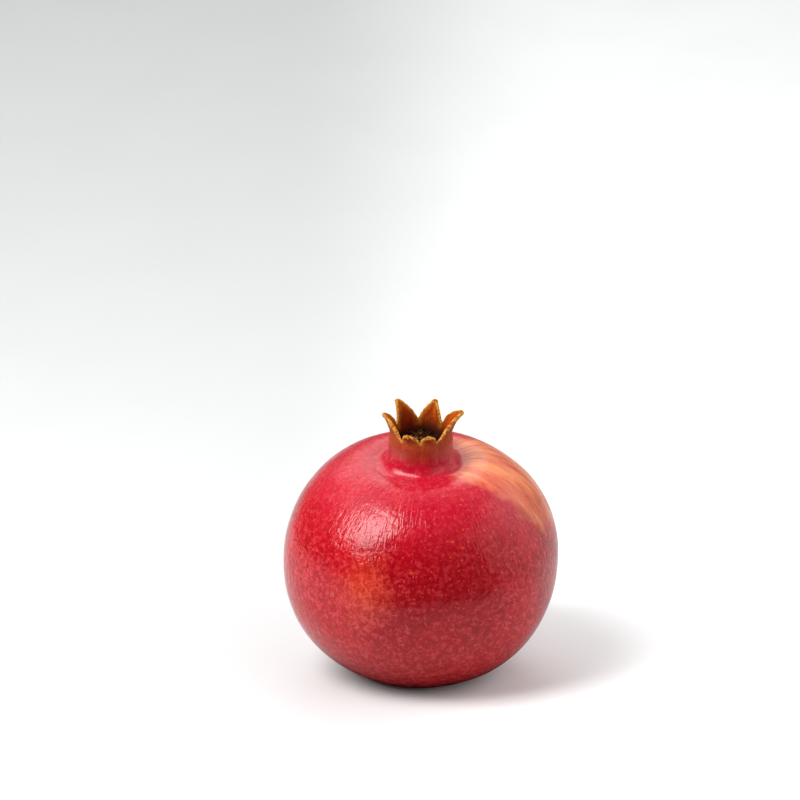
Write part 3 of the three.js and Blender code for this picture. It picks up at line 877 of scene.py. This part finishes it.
def body_colour(tree, c, place, path, level, streaks, pores, mottle):
    """The body's reds with their blotches, patches, mottling and short strokes."""
    blotches = noise(tree, place, 55, 4, 0.6, 0.4)[0]
    clouds = noise(tree, place, 210, 3, 0.6, 0.3)[0]
    deep, orange = patch(tree, place, "deep"), patch(tree, place, "orange")
    red = blend(tree, ramp(tree, blotches, 0.40, 0.62), c.deep, c.bright)
    # Painted light: brighter red on the left front, under the key softbox.
    red = tint(tree, red, c.bright, patch(tree, place, "lamplight"), 0.8)
    red = tint(tree, red, c.deep, deep, 0.95)
    red = tint(tree, red, c.brick, ramp(tree, level, *BRICK_BELOW), 0.85)
    red = tint(tree, red, c.pink, ramp(tree, level, *PINK_ABOVE), 0.75)
    red = tint(tree, red, c.orange, orange, ramp(tree, mottle, 0.42, 0.56, 0.42, 1.0), 0.9)
    red = tint(tree, red, c.deep, ramp(tree, clouds, 0.48, 0.30, 0.0, 0.35))
    red = mottled(tree, c, red, level, mottle, deep, orange)
    # Painted shade: a little deep red in the pits and wrinkles that lie low.
    red = tint(tree, red, c.deep, pores["Low"], 0.15)
    for hue, spacing, size, stretch, share in STROKES:
        stroke = use_group(tree, "Specks", Vector=place, Spacing=spacing, Size=size, Share=0.6,
                           Stretch=stretch)
        red = tint(tree, red, getattr(c, hue), stroke["Mask"], share)
    coarse, fine = (streak["Height"] for streak in streaks)
    streaky = times(tree, ramp(tree, coarse, 0.38, 0.56, 0.5, 1.0), ramp(tree, fine, 0.38, 0.56, 0.45, 1.0))
    faded = ramp(tree, path, *BLUSH_FADES)
    return tint(tree, red, c.blush, patch(tree, place, "blush"), streaky, faded)


def mottled(tree, c, red, level, mottle, deep, orange):
    """The body's red with its fine mottling: pale and strong below, weaker at the top and in the patches."""
    pale_share = ramp(tree, level, *PALE_BELOW, 0.28, 0.56)
    outside_deep = maths(tree, "MULTIPLY_ADD", deep, -0.45, 1)
    red = tint(tree, red, c.speck, ramp(tree, mottle, 0.48, 0.68), outside_deep, pale_share)
    dark_share = ramp(tree, level, *DARK_BELOW, 0.2, 0.52)
    outside_orange = maths(tree, "MULTIPLY_ADD", orange, -0.7, 1)
    shade = tuple(v * 0.55 for v in c.deep)
    return tint(tree, red, shade, ramp(tree, mottle, 0.58, 0.36), dark_share, outside_orange)


def ragged(tree, way, fibres, depth):
    """A way made uneven by the fibres, by up to half a depth to either side."""
    return maths(tree, "MULTIPLY_ADD", fibres["Height"], -depth, maths(tree, "ADD", way, depth / 2))


def neck_colour(tree, c, red, path, fibres):
    """The outside from the body's red over the neck's brown to the sepals."""
    browning = ramp(tree, path, *NECK_BROWNS)
    streaky = ramp(tree, fibres["Height"], 0.36, 0.6, 0.4, 1.0)
    outer = tint(tree, red, c.neck, browning, streaky)
    uneven = ragged(tree, path, fibres, SEPALS_RAGGED)
    return tint(tree, outer, c.sepal, ramp(tree, uneven, *SEPALS_BEGIN))


def rimmed(tree, c, skin, place, near, fibres):
    """A colour with the crown's dry golden edges drawn over it, ragged and mottled with brown."""
    uneven = ragged(tree, near, fibres, RIM_RAGGED)
    grains = noise(tree, place, 1300, 2, 0.6)[0]
    gold = blend(tree, ramp(tree, grains, 0.46, 0.62), c.rim, c.sepal)
    return tint(tree, skin, gold, ramp(tree, uneven, *RIM_ENDS))


def crown_material(c):
    """The crown's inside, dark brown with painted shade at its floor and lighter towards the sepals' edges.
    """
    material, tree, shader = new_material("Crown inside")
    place = add_node(tree, "ShaderNodeTexCoord").outputs["Object"]
    path, near = attribute(tree, "path"), attribute(tree, "near")
    fibres = use_group(tree, "Fibres", Along=attribute(tree, "along", "Vector"))
    grains = noise(tree, place, 1500, 3, 0.65)[0]
    # Painted shade over the crown's own brown: darker down towards the crown's floor.
    within = blend(tree, ramp(tree, path, *INSIDE_SHADE_FADES), c.hollow, c.inside)
    # Painted shade on the sepal that turns from the key light.
    within = tint(tree, within, c.shaded_sepal, patch(tree, place, "shaded_sepal_patch"), 0.75)
    within = tint(tree, within, c.golden, ramp(tree, near, *GOLDEN_FADES, 0.0, 0.7))
    within = tint(tree, within, c.hollow, fibres["Mask"], 0.4)
    within = tint(tree, within, c.hollow, ramp(tree, grains, 0.52, 0.66, 0.0, 0.5))
    tree.links.new(rimmed(tree, c, within, place, near, fibres), shader.inputs["Base Color"])
    tree.links.new(ramp(tree, fibres["Height"], 0.3, 0.6, 0.6, 0.8), shader.inputs["Roughness"])
    shader.inputs["Specular IOR Level"].default_value = 0.08
    grainy = times(tree, grains, INSIDE_GRAIN_DEPTH)
    height = maths(tree, "MULTIPLY_ADD", fibres["Height"], FIBRE_DEPTH, grainy)
    raise_bumps(tree, shader, height)
    return material


def skin_height(tree, place, along, path, level, pores, fibres, dryness, mottle):
    """The relief too fine for the mesh: wrinkles down from the neck, ripples, pores and the neck's fibres."""
    spread = vectors(tree, "MULTIPLY", along, (4.0, 4.0, 0.2))
    wrinkles = noise(tree, spread, 1000, 1, 0.5, 0.5)[0]
    wrinkles = times(tree, wrinkles, ramp(tree, level, *WRINKLED_ABOVE, 0.25, 1))
    away = ramp(tree, path, *SMOOTH_NECK, 0.2, 1)
    ripples = noise(tree, place, 1100, 1, 0.5, 0.4)[0]
    waves = noise(tree, place, 380, 1, 0.5, 0.6)[0]
    height = times(tree, pores["Height"], PORE_DEPTH)
    for part, depth in ((wrinkles, WRINKLE_DEPTH), (ripples, RIPPLE_DEPTH), (waves, WAVE_DEPTH)):
        height = maths(tree, "MULTIPLY_ADD", part, times(tree, away, depth), height)
    dry = maths(tree, "MULTIPLY_ADD", mottle, GRAIN_DEPTH, times(tree, fibres["Height"], FIBRE_DEPTH))
    level_dry = maths(tree, "SUBTRACT", dry, (GRAIN_DEPTH + FIBRE_DEPTH) / 2)
    return maths(tree, "MULTIPLY_ADD", level_dry, dryness, height)


def dried_material(c):
    """The dried stamens and style."""
    material, tree, shader = new_material("Dried stamens")
    place = add_node(tree, "ShaderNodeTexCoord").outputs["Object"]
    head = attribute(tree, "head")
    grain = noise(tree, place, 2600, 3, 0.6)[0]
    patchy = noise(tree, place, 500, 2, 0.5)[0]
    thread = blend(tree, ramp(tree, patchy, 0.35, 0.65), c.hollow, c.thread)
    skin = blend(tree, head, thread, blend(tree, ramp(tree, grain, 0.4, 0.6), c.thread, c.anther))
    tree.links.new(skin, shader.inputs["Base Color"])
    tree.links.new(ramp(tree, grain, 0.3, 0.7, 0.65, 0.9), shader.inputs["Roughness"])
    shader.inputs["Specular IOR Level"].default_value = 0.1
    raise_bumps(tree, shader, grain, 0.00015, 0.8)
    return material


def stalk_material(c):
    """The cut stalk's dry wood."""
    material, tree, shader = new_material("Cut stalk")
    place = add_node(tree, "ShaderNodeTexCoord").outputs["Object"]
    along = attribute(tree, "along", "Vector")
    fibres = use_group(tree, "Fibres", Along=along, Density=2200.0, Stretch=0.3)
    specks = use_group(tree, "Specks", Vector=place, Spacing=0.0006, Size=0.3, Share=0.4)
    wood = blend(tree, fibres["Mask"], tuple(v * 0.35 for v in c.wood), c.wood)
    wood = tint(tree, wood, c.hollow, specks["Mask"], 0.6)
    tree.links.new(wood, shader.inputs["Base Color"])
    tree.links.new(ramp(tree, fibres["Height"], 0.3, 0.7, 0.7, 0.9), shader.inputs["Roughness"])
    raise_bumps(tree, shader, fibres["Height"], 0.0004, 0.9)
    return material


# Geometry node trees.


def new_tree(name, inputs):
    """A geometry tree with a geometry in and out, and named inputs."""
    tree = bpy.data.node_groups.new(name, "GeometryNodeTree")
    tree.interface.new_socket(name="Geometry", in_out="INPUT", socket_type="NodeSocketGeometry")
    for label, (kind, value) in inputs.items():
        socket = tree.interface.new_socket(name=label, in_out="INPUT", socket_type=kind)
        if value is not None:
            socket.default_value = value
    tree.interface.new_socket(name="Geometry", in_out="OUTPUT", socket_type="NodeSocketGeometry")
    return tree, tree.nodes.new("NodeGroupInput").outputs, tree.nodes.new("NodeGroupOutput").inputs


def shaped(tree, kind, inputs=(), **values):
    """The first output of a geometry node."""
    return add_node(tree, "GeometryNode" + kind, inputs, **values).outputs[0]


def joined(tree, parts):
    """Several geometries as one."""
    node = tree.nodes.new("GeometryNodeJoinGeometry")
    for part in parts:
        tree.links.new(part, node.inputs[0])
    return node.outputs[0]


def end_tree(tree, geometry, material, result, inside=None, inside_material=None):
    """Ends a tree with its material, and another one where the inside mask says so."""
    real = shaped(tree, "RealizeInstances", {"Geometry": geometry})
    painted = shaped(tree, "SetMaterial", {"Geometry": real, "Material": material})
    if inside is not None:
        inputs = {"Geometry": painted, "Selection": inside, "Material": inside_material}
        painted = shaped(tree, "SetMaterial", inputs)
    tree.links.new(painted, result["Geometry"])


def relief_tree():
    """Raises the rind's broad and small unevenness along its normals, where it is soft."""
    tree, given, result = new_tree("Rind relief", {
        "Dents": (FLOAT, 0.0003), "Dent spacing": (FLOAT, 0.016), "Ripples": (FLOAT, 0.00005),
        "Ripple spacing": (FLOAT, 0.003), "Material": ("NodeSocketMaterial", None),
        "Inside material": ("NodeSocketMaterial", None),
    })
    place = shaped(tree, "InputPosition")
    soft = shaped(tree, "InputNamedAttribute", {"Name": "soft"}, data_type="FLOAT")
    total = None
    for height, spacing in (("Dents", "Dent spacing"), ("Ripples", "Ripple spacing")):
        waves = noise(tree, place, maths(tree, "DIVIDE", 1, given[spacing]), 1, 0.5)[0]
        depth = times(tree, maths(tree, "SUBTRACT", waves, 0.72), given[height])
        total = depth if total is None else maths(tree, "ADD", total, depth)
    normal = shaped(tree, "InputNormal")
    offset = vectors(tree, "SCALE", normal, Scale=times(tree, total, soft))
    moved = shaped(tree, "SetPosition", {"Geometry": given["Geometry"], "Offset": offset})
    inner = shaped(tree, "InputNamedAttribute", {"Name": "inner"}, data_type="FLOAT")
    inside = add_node(tree, "FunctionNodeCompare", {0: inner, 1: 0.5}, operation="GREATER_THAN").outputs[0]
    end_tree(tree, moved, given["Material"], result, inside, given["Inside material"])
    return tree


def random_value(tree, index, seed, number, low, high):
    """A random value that is the same along one thread. The number tells a tree's draws apart."""
    inputs = {2: low, 3: high, "ID": index, "Seed": maths(tree, "ADD", seed, number)}
    return add_node(tree, "FunctionNodeRandomValue", inputs, data_type="FLOAT").outputs[1]


def around(tree, turn, radius, height):
    """A place at an angle round the axis, at a radius and height."""
    x = times(tree, maths(tree, "COSINE", turn), radius)
    y = times(tree, maths(tree, "SINE", turn), radius)
    return add_node(tree, "ShaderNodeCombineXYZ", {0: x, 1: y, 2: height}).outputs[0]


def thread_place(tree, given, index, share):
    """Where a share of the way along a thread lies: on an arc from the wall over a bend to a free end."""
    seed, wall = given["Seed"], given["Wall radius"]
    place = maths(tree, "ADD", index, random_value(tree, index, seed, 1, 0.0, 0.8))
    turn = times(tree, maths(tree, "DIVIDE", place, given["Count"]), 2 * math.pi)
    band = maths(tree, "FRACT", times(tree, index, ROOT_STEP))
    root = maths(tree, "MULTIPLY_ADD", band, given["Root band"], given["Foot"])
    end_turn = maths(tree, "ADD", turn, random_value(tree, index, seed, 2, -0.7, 0.7))
    bend_turn = maths(tree, "MULTIPLY_ADD", maths(tree, "SUBTRACT", end_turn, turn), 0.35, turn)
    end_radius = random_value(tree, index, seed, 3, 1.6 * MM, 6.6 * MM)
    bend_radius = maths(tree, "SUBTRACT", wall, random_value(tree, index, seed, 4, 1.6 * MM, 3.2 * MM))
    bend_height = maths(tree, "ADD", root, random_value(tree, index, seed, 5, 0.2 * MM, 1.8 * MM))
    end_height = maths(tree, "ADD", root, random_value(tree, index, seed, 6, -1.2 * MM, 1.2 * MM))
    start = around(tree, turn, maths(tree, "ADD", wall, 0.5 * MM), root)
    bend = around(tree, bend_turn, bend_radius, bend_height)
    end = around(tree, end_turn, end_radius, end_height)
    back = maths(tree, "SUBTRACT", 1, share)
    first = vectors(tree, "SCALE", start, Scale=times(tree, back, back))
    second = vectors(tree, "SCALE", bend, Scale=times(tree, share, back, 2))
    third = vectors(tree, "SCALE", end, Scale=times(tree, share, share))
    return vectors(tree, "ADD", vectors(tree, "ADD", first, second), third)


def pollen_heads(tree, given, index, threads):
    """A pollen head of two lobes on the free end of every thread."""
    lobe = shaped(tree, "MeshIcoSphere", {"Radius": 0.5, "Subdivisions": 2})
    head = joined(tree, [
        shaped(tree, "Transform", {"Geometry": lobe, "Translation": (side, 0, 0), "Scale": LOBE_SIZE})
        for side in (-LOBE_SIDE, LOBE_SIDE)
    ])
    ends = shaped(tree, "CurveEndpointSelection", {"Start Size": 0, "End Size": 1})
    tangent = shaped(tree, "InputTangent")
    turned = add_node(tree, "FunctionNodeAlignRotationToVector", {"Vector": tangent}).outputs[0]
    size = times(tree, given["Head length"], random_value(tree, index, given["Seed"], 7, 0.7, 1.15))
    heads = shaped(tree, "InstanceOnPoints", {
        "Points": threads, "Selection": ends, "Instance": head, "Rotation": turned, "Scale": size,
    })
    return shaped(tree, "RealizeInstances", {"Geometry": heads})


def stamens_tree():
    """Dried threads that grow from the crown's inner wall and curl in over its floor, each with its head."""
    tree, given, result = new_tree("Stamens", {
        "Count": ("NodeSocketInt", 100), "Seed": ("NodeSocketInt", 0), "Wall radius": (FLOAT, 0.0085),
        "Foot": (FLOAT, 0.038), "Root band": (FLOAT, 0.004), "Thread radius": (FLOAT, 0.0002),
        "Head length": (FLOAT, 0.0013), "Material": ("NodeSocketMaterial", None),
    })
    seeds = shaped(tree, "Points", {"Count": given["Count"]})
    stem = shaped(tree, "CurvePrimitiveLine")
    stem = shaped(tree, "ResampleCurve", {"Curve": stem, "Count": THREAD_POINTS})
    stems = shaped(tree, "InstanceOnPoints", {"Points": seeds, "Instance": stem})
    stems = shaped(tree, "RealizeInstances", {"Geometry": stems})
    index = shaped(tree, "FieldOnDomain", {0: shaped(tree, "InputIndex")}, data_type="INT", domain="CURVE")
    share = add_node(tree, "GeometryNodeSplineParameter").outputs["Factor"]
    position = thread_place(tree, given, index, share)
    bent = shaped(tree, "SetPosition", {"Geometry": stems, "Position": position})
    bent = shaped(tree, "SetCurveRadius", {"Curve": bent, "Radius": ramp(tree, share, 0, 1, 1.2, 0.7, False)})
    profile = shaped(tree, "CurvePrimitiveCircle", {"Resolution": 6, "Radius": given["Thread radius"]})
    threads = shaped(tree, "CurveToMesh", {"Curve": bent, "Profile Curve": profile, "Fill Caps": True})
    marked = []
    for geometry, value in ((threads, 0.0), (pollen_heads(tree, given, index, bent), 1.0)):
        inputs = {"Geometry": geometry, "Name": "head", "Value": value}
        marked.append(shaped(tree, "StoreNamedAttribute", inputs, data_type="FLOAT", domain="POINT"))
    smooth = shaped(tree, "SetShadeSmooth", {"Geometry": joined(tree, marked)})
    end_tree(tree, smooth, given["Material"], result)
    return tree


def tube(path, radii, sides, ridge=0.0, ridges=0):
    """A closed rod along points, with its radius at each, and ridges down its length."""
    path, radii = np.asarray(path, float), np.asarray(radii, float)
    along = np.gradient(path, axis=0)
    along /= np.linalg.norm(along, axis=1)[:, None]
    turn = np.linspace(0, 2 * math.pi, sides, endpoint=False)
    grooves = 1 + ridge * np.cos(ridges * turn) + 0.5 * ridge * np.cos((2 * ridges + 3) * turn + 1)
    points = []
    for centre, axis, radius in zip(path, along, radii):
        side = np.cross(axis, (0, 1, 0))
        side /= np.linalg.norm(side)
        other = np.cross(axis, side)
        ring_points = centre + (radius * grooves * np.cos(turn))[:, None] * side
        points.append(ring_points + (radius * grooves * np.sin(turn))[:, None] * other)
    faces = []
    for i in range(len(path) - 1):
        a = np.arange(sides) + i * sides
        b = np.roll(a, -1)
        faces += np.column_stack([a, b, b + sides, a + sides]).tolist()
    count = len(path) * sides
    last = count - sides
    pairs = [(a, (a + 1) % sides) for a in range(sides)]
    faces += [[count, b, a] for a, b in pairs]
    faces += [[last + a, last + b, count + 1] for a, b in pairs]
    points = np.vstack([*points, path[:1], path[-1:]])
    return points, faces, np.concatenate([np.tile(turn, len(path)), [0, 0]])


class POMEGRANATE_OT_rind(bpy.types.Operator):
    """Make the rind with its crown"""
    bl_idname = "mesh.pomegranate_rind"
    bl_label = "Rind and crown"

    def execute(self, context):
        s, _, c, _ = settings()
        surface = build_rind(s)
        points = set_down(s, np.vstack(surface.points))
        traits = np.vstack(surface.traits)
        material = rind_material(c)
        piece = new_piece("rind", points, surface.faces, material)
        path, inner, near, cosine, sine, level = traits.T
        for name, values in (("path", path), ("inner", inner), ("near", near), ("level", level)):
            add_trait(piece.data, name, "FLOAT", values)
        along = np.column_stack([cosine * s.mouth_radius, sine * s.mouth_radius, path])
        add_trait(piece.data, "along", "FLOAT_VECTOR", along)
        soft = smoothstep(points[:, 2], 0, 5 * MM) * (1 - smoothstep(path, -1 * MM, 4 * MM)) * (1 - inner)
        add_trait(piece.data, "soft", "FLOAT", soft)
        apply_tree(piece, relief_tree(), {
            "Dents": s.dents, "Dent spacing": s.dent_spacing, "Ripples": s.ripples,
            "Ripple spacing": s.ripple_spacing, "Material": material, "Inside material": crown_material(c),
        })
        finish_piece(piece)
        return {"FINISHED"}


class POMEGRANATE_OT_stalk(bpy.types.Operator):
    """Make the cut stalk in its hollow under the fruit"""
    bl_idname = "mesh.pomegranate_stalk"
    bl_label = "Cut stalk"

    def execute(self, context):
        s, _, c, _ = settings()
        floor = -s.body_base + s.dimple_depth
        end = floor - s.stalk_length
        heights = np.concatenate([np.linspace(floor + 1.5 * MM, end, 14), [end - 0.02 * MM] * 5])
        shape = np.concatenate([np.linspace(1.12, 1.0, 12), [0.97, 0.9], [0.78, 0.6, 0.42, 0.25, 0.1]])
        path = np.column_stack([np.zeros_like(heights), np.zeros_like(heights), heights])
        path[-5:, 2] += np.array([0.02, 0.1, 0.22, 0.12, 0.3]) * MM
        points, faces, turn = tube(path, shape * s.stalk_radius, 60, 0.03, 13)
        piece = new_piece("cut_stalk", set_down(s, points), faces, stalk_material(c))
        radius = np.hypot(points[:, 0], points[:, 1])
        along = np.column_stack([radius * np.cos(turn), radius * np.sin(turn), points[:, 2]])
        add_trait(piece.data, "along", "FLOAT_VECTOR", along)
        finish_piece(piece)
        return {"FINISHED"}


class POMEGRANATE_OT_stamens(bpy.types.Operator):
    """Make the dried stamens in the crown"""
    bl_idname = "mesh.pomegranate_stamens"
    bl_label = "Stamens"

    def execute(self, context):
        s, t, c, _ = settings()
        material = dried_material(c)
        piece = new_piece("stamens", [(0, 0, 0)], [], material)
        apply_tree(piece, stamens_tree(), {
            "Count": t.count, "Seed": t.seed, "Wall radius": s.mouth_radius - s.wall,
            "Foot": s.floor_height + t.foot, "Root band": t.rows, "Thread radius": t.thread,
            "Head length": t.anther, "Material": material,
        })
        count = len(piece.data.vertices)
        points = np.empty(count * 3)
        piece.data.vertices.foreach_get("co", points)
        piece.data.vertices.foreach_set("co", set_down(s, points.reshape(-1, 3)).ravel())
        piece.data.update()
        finish_piece(piece)
        return {"FINISHED"}


class POMEGRANATE_OT_style(bpy.types.Operator):
    """Make the style that stands in the middle of the crown"""
    bl_idname = "mesh.pomegranate_style"
    bl_label = "Style"

    def execute(self, context):
        s, t, _, _ = settings()
        share = np.linspace(0, 1, 24)
        height = s.floor_height - 1 * MM + (t.style_height + 1 * MM) * share
        path = np.column_stack([0.9 * MM * share ** 2, 0.5 * MM * share ** 2, height])
        shape = np.interp(share, (0, 0.2, 0.4, 0.7, 0.84, 0.95, 1), (1.1, 0.85, 0.75, 0.8, 1.25, 1.2, 0.5))
        points, faces, _ = tube(path, shape * t.style_radius, 24, 0.06, 5)
        piece = new_piece("style", set_down(s, points), faces, bpy.data.materials["Dried stamens"])
        add_trait(piece.data, "head", "FLOAT", smoothstep(points[:, 2], height[-8], height[-3]))
        finish_piece(piece)
        return {"FINISHED"}


def softbox(name, brightness, aim, direction, distance, width, height, roll):
    """A soft rectangular light that faces the fruit and looks equally bright whatever its size."""
    light = bpy.data.lights.new(name, "AREA")
    light.shape = "RECTANGLE"
    light.size, light.size_y = width, height
    light.energy = brightness * math.pi * width * height
    lamp = bpy.data.objects.new(name, light)
    bpy.context.collection.objects.link(lamp)
    direction = Vector(direction).normalized()
    lamp.location = aim + direction * distance
    turned = direction.to_track_quat("Z", "Y") @ Quaternion((0, 0, 1), math.radians(roll))
    lamp.rotation_euler = turned.to_euler()
    return lamp


def make_camera(g, middle):
    """The camera, placed so that the fruit's middle lands where the photograph has it."""
    sensor = 36
    lens = sensor * g.camera_distance / g.frame_width
    pixels_per_tangent = PHOTO_PIXELS * lens / sensor
    right, down = ((pixel - PHOTO_PIXELS / 2) / pixels_per_tangent for pixel in FRUIT_PIXEL)
    tilt = g.sight_elevation - math.atan(down)
    forward = Vector((0, math.cos(tilt), -math.sin(tilt)))
    up = Vector((0, math.sin(tilt), math.cos(tilt)))
    data = bpy.data.cameras.new("Camera")
    data.lens, data.sensor_width = lens, sensor
    camera = bpy.data.objects.new("Camera", data)
    bpy.context.collection.objects.link(camera)
    camera.location = middle - g.camera_distance * (forward + Vector((right, 0, 0)) - up * down)
    camera.rotation_euler = (math.pi / 2 - tilt, 0, 0)
    bpy.context.scene.camera = camera


def surface_material(c, g):
    """The pale surface, with painted shade on the left. The fruit gets less light from it than the camera."""
    material, tree, shader = new_material("Pale surface")
    place = add_node(tree, "ShaderNodeTexCoord").outputs["Object"]
    grain = noise(tree, place, 30, 3, 0.5)[0]
    pale = blend(tree, grain, tuple(v * 0.97 for v in c.floor), c.floor)
    ways = add_node(tree, "ShaderNodeSeparateXYZ", {0: place}).outputs
    # Painted shade: the surface darker on the left, where the key softbox shines, to even out its light.
    left = tuple(v * g.left_painted_shade for v in c.floor)
    pale = blend(tree, ramp(tree, ways["X"], *SURFACE_SHADE_RAMP), left, pale)
    # Painted shade in the light the surface gives the fruit: nearly black right under the fruit, and dim far
    # in front.
    under_shade = ramp(tree, vectors(tree, "LENGTH", place), *SHADE_UNDER_FRUIT, 0.06, 1)
    far_shade = ramp(tree, ways["Y"], *SHADE_FAR_FRONT, 0.1, 1)
    thrown = tint(tree, (0, 0, 0), tuple(v * g.bounce for v in c.floor), under_shade, far_shade)
    seen = add_node(tree, "ShaderNodeLightPath").outputs["Is Camera Ray"]
    tree.links.new(blend(tree, seen, thrown, pale), shader.inputs["Base Color"])
    tree.links.new(ramp(tree, grain, 0.3, 0.7, 0.5, 0.6), shader.inputs["Roughness"])
    return material


def make_surface(c, g):
    """The surface the fruit stands on."""
    half, level = SURFACE_HALF, -SURFACE_GAP
    corners = [(-half, -half, level), (half, -half, level), (half, half, level), (-half, half, level)]
    mesh = bpy.data.meshes.new("surface")
    mesh.from_pydata(corners, [], [(0, 1, 2, 3)])
    mesh.materials.append(surface_material(c, g))
    floor = bpy.data.objects.new("surface", mesh)
    bpy.context.collection.objects.link(floor)


def make_surround(g):
    """The white surround, bright behind and above the fruit and dim on the camera's side."""
    world = bpy.data.worlds.new("Studio")
    bpy.context.scene.world = world
    world.use_nodes = True
    tree = world.node_tree
    way = add_node(tree, "ShaderNodeTexCoord").outputs["Generated"]
    sides = add_node(tree, "ShaderNodeSeparateXYZ", {0: way}).outputs
    behind = ramp(tree, sides["Y"], -0.15, 0.2)
    above = ramp(tree, sides["Z"], 0.15, 0.55, 0.2, 1)
    beside = ramp(tree, sides["X"], -0.8, -0.45, 0.35, 1)
    white = times(tree, behind, above, beside)
    background = tree.nodes["Background"]
    glow = maths(tree, "MULTIPLY_ADD", white, g.back - g.front, g.front)
    tree.links.new(glow, background.inputs["Strength"])
    background.inputs["Color"].default_value = (1, 1, 1, 1)


class POMEGRANATE_OT_stage(bpy.types.Operator):
    """Make the surface, the lights and the camera"""
    bl_idname = "scene.pomegranate_stage"
    bl_label = "Stage"

    def execute(self, context):
        s, _, c, g = settings()
        middle = Vector((0, 0, float(resting_shift(s)[2])))
        make_surface(c, g)
        for name, (setting, *form) in SOFTBOXES.items():
            lamp = softbox(name, getattr(g, setting), middle, *form)
            lamp.visible_glossy = name != "Fill"
        make_surround(g)
        make_camera(g, middle)
        view = bpy.context.scene.view_settings
        view.view_transform, view.look, view.exposure, view.gamma = "Standard", "None", 0, 1
        return {"FINISHED"}


class VIEW3D_PT_pomegranate(bpy.types.Panel):
    bl_label = "Pomegranate"
    bl_space_type = "VIEW_3D"
    bl_region_type = "UI"
    bl_category = "Pomegranate"

    def draw(self, context):
        for step in STEPS:
            self.layout.operator(step.bl_idname)
        for group in settings():
            box = self.layout.box()
            for name in group.__annotations__:
                box.prop(group, name)


STEPS = (POMEGRANATE_OT_stage, POMEGRANATE_OT_rind, POMEGRANATE_OT_stalk, POMEGRANATE_OT_stamens,
         POMEGRANATE_OT_style)
GROUPS = {
    "pomegranate_sizes": PomegranateSizes,
    "pomegranate_stamens": PomegranateStamens,
    "pomegranate_colours": PomegranateColours,
    "pomegranate_stage": PomegranateStage,
}


def register():
    for kind in (*GROUPS.values(), *STEPS, VIEW3D_PT_pomegranate):
        bpy.utils.register_class(kind)
    for name, kind in GROUPS.items():
        setattr(bpy.types.Scene, name, bpy.props.PointerProperty(type=kind))


def unregister():
    for name in GROUPS:
        delattr(bpy.types.Scene, name)
    for kind in reversed((*GROUPS.values(), *STEPS, VIEW3D_PT_pomegranate)):
        bpy.utils.unregister_class(kind)


def main():
    register()
    make_specks_group()
    make_fibres_group()
    make_pores_group()
    make_patch_group()
    bpy.ops.scene.pomegranate_stage()
    bpy.ops.mesh.pomegranate_rind()
    bpy.ops.mesh.pomegranate_stalk()
    bpy.ops.mesh.pomegranate_stamens()
    bpy.ops.mesh.pomegranate_style()


if __name__ == "__main__":
    main()
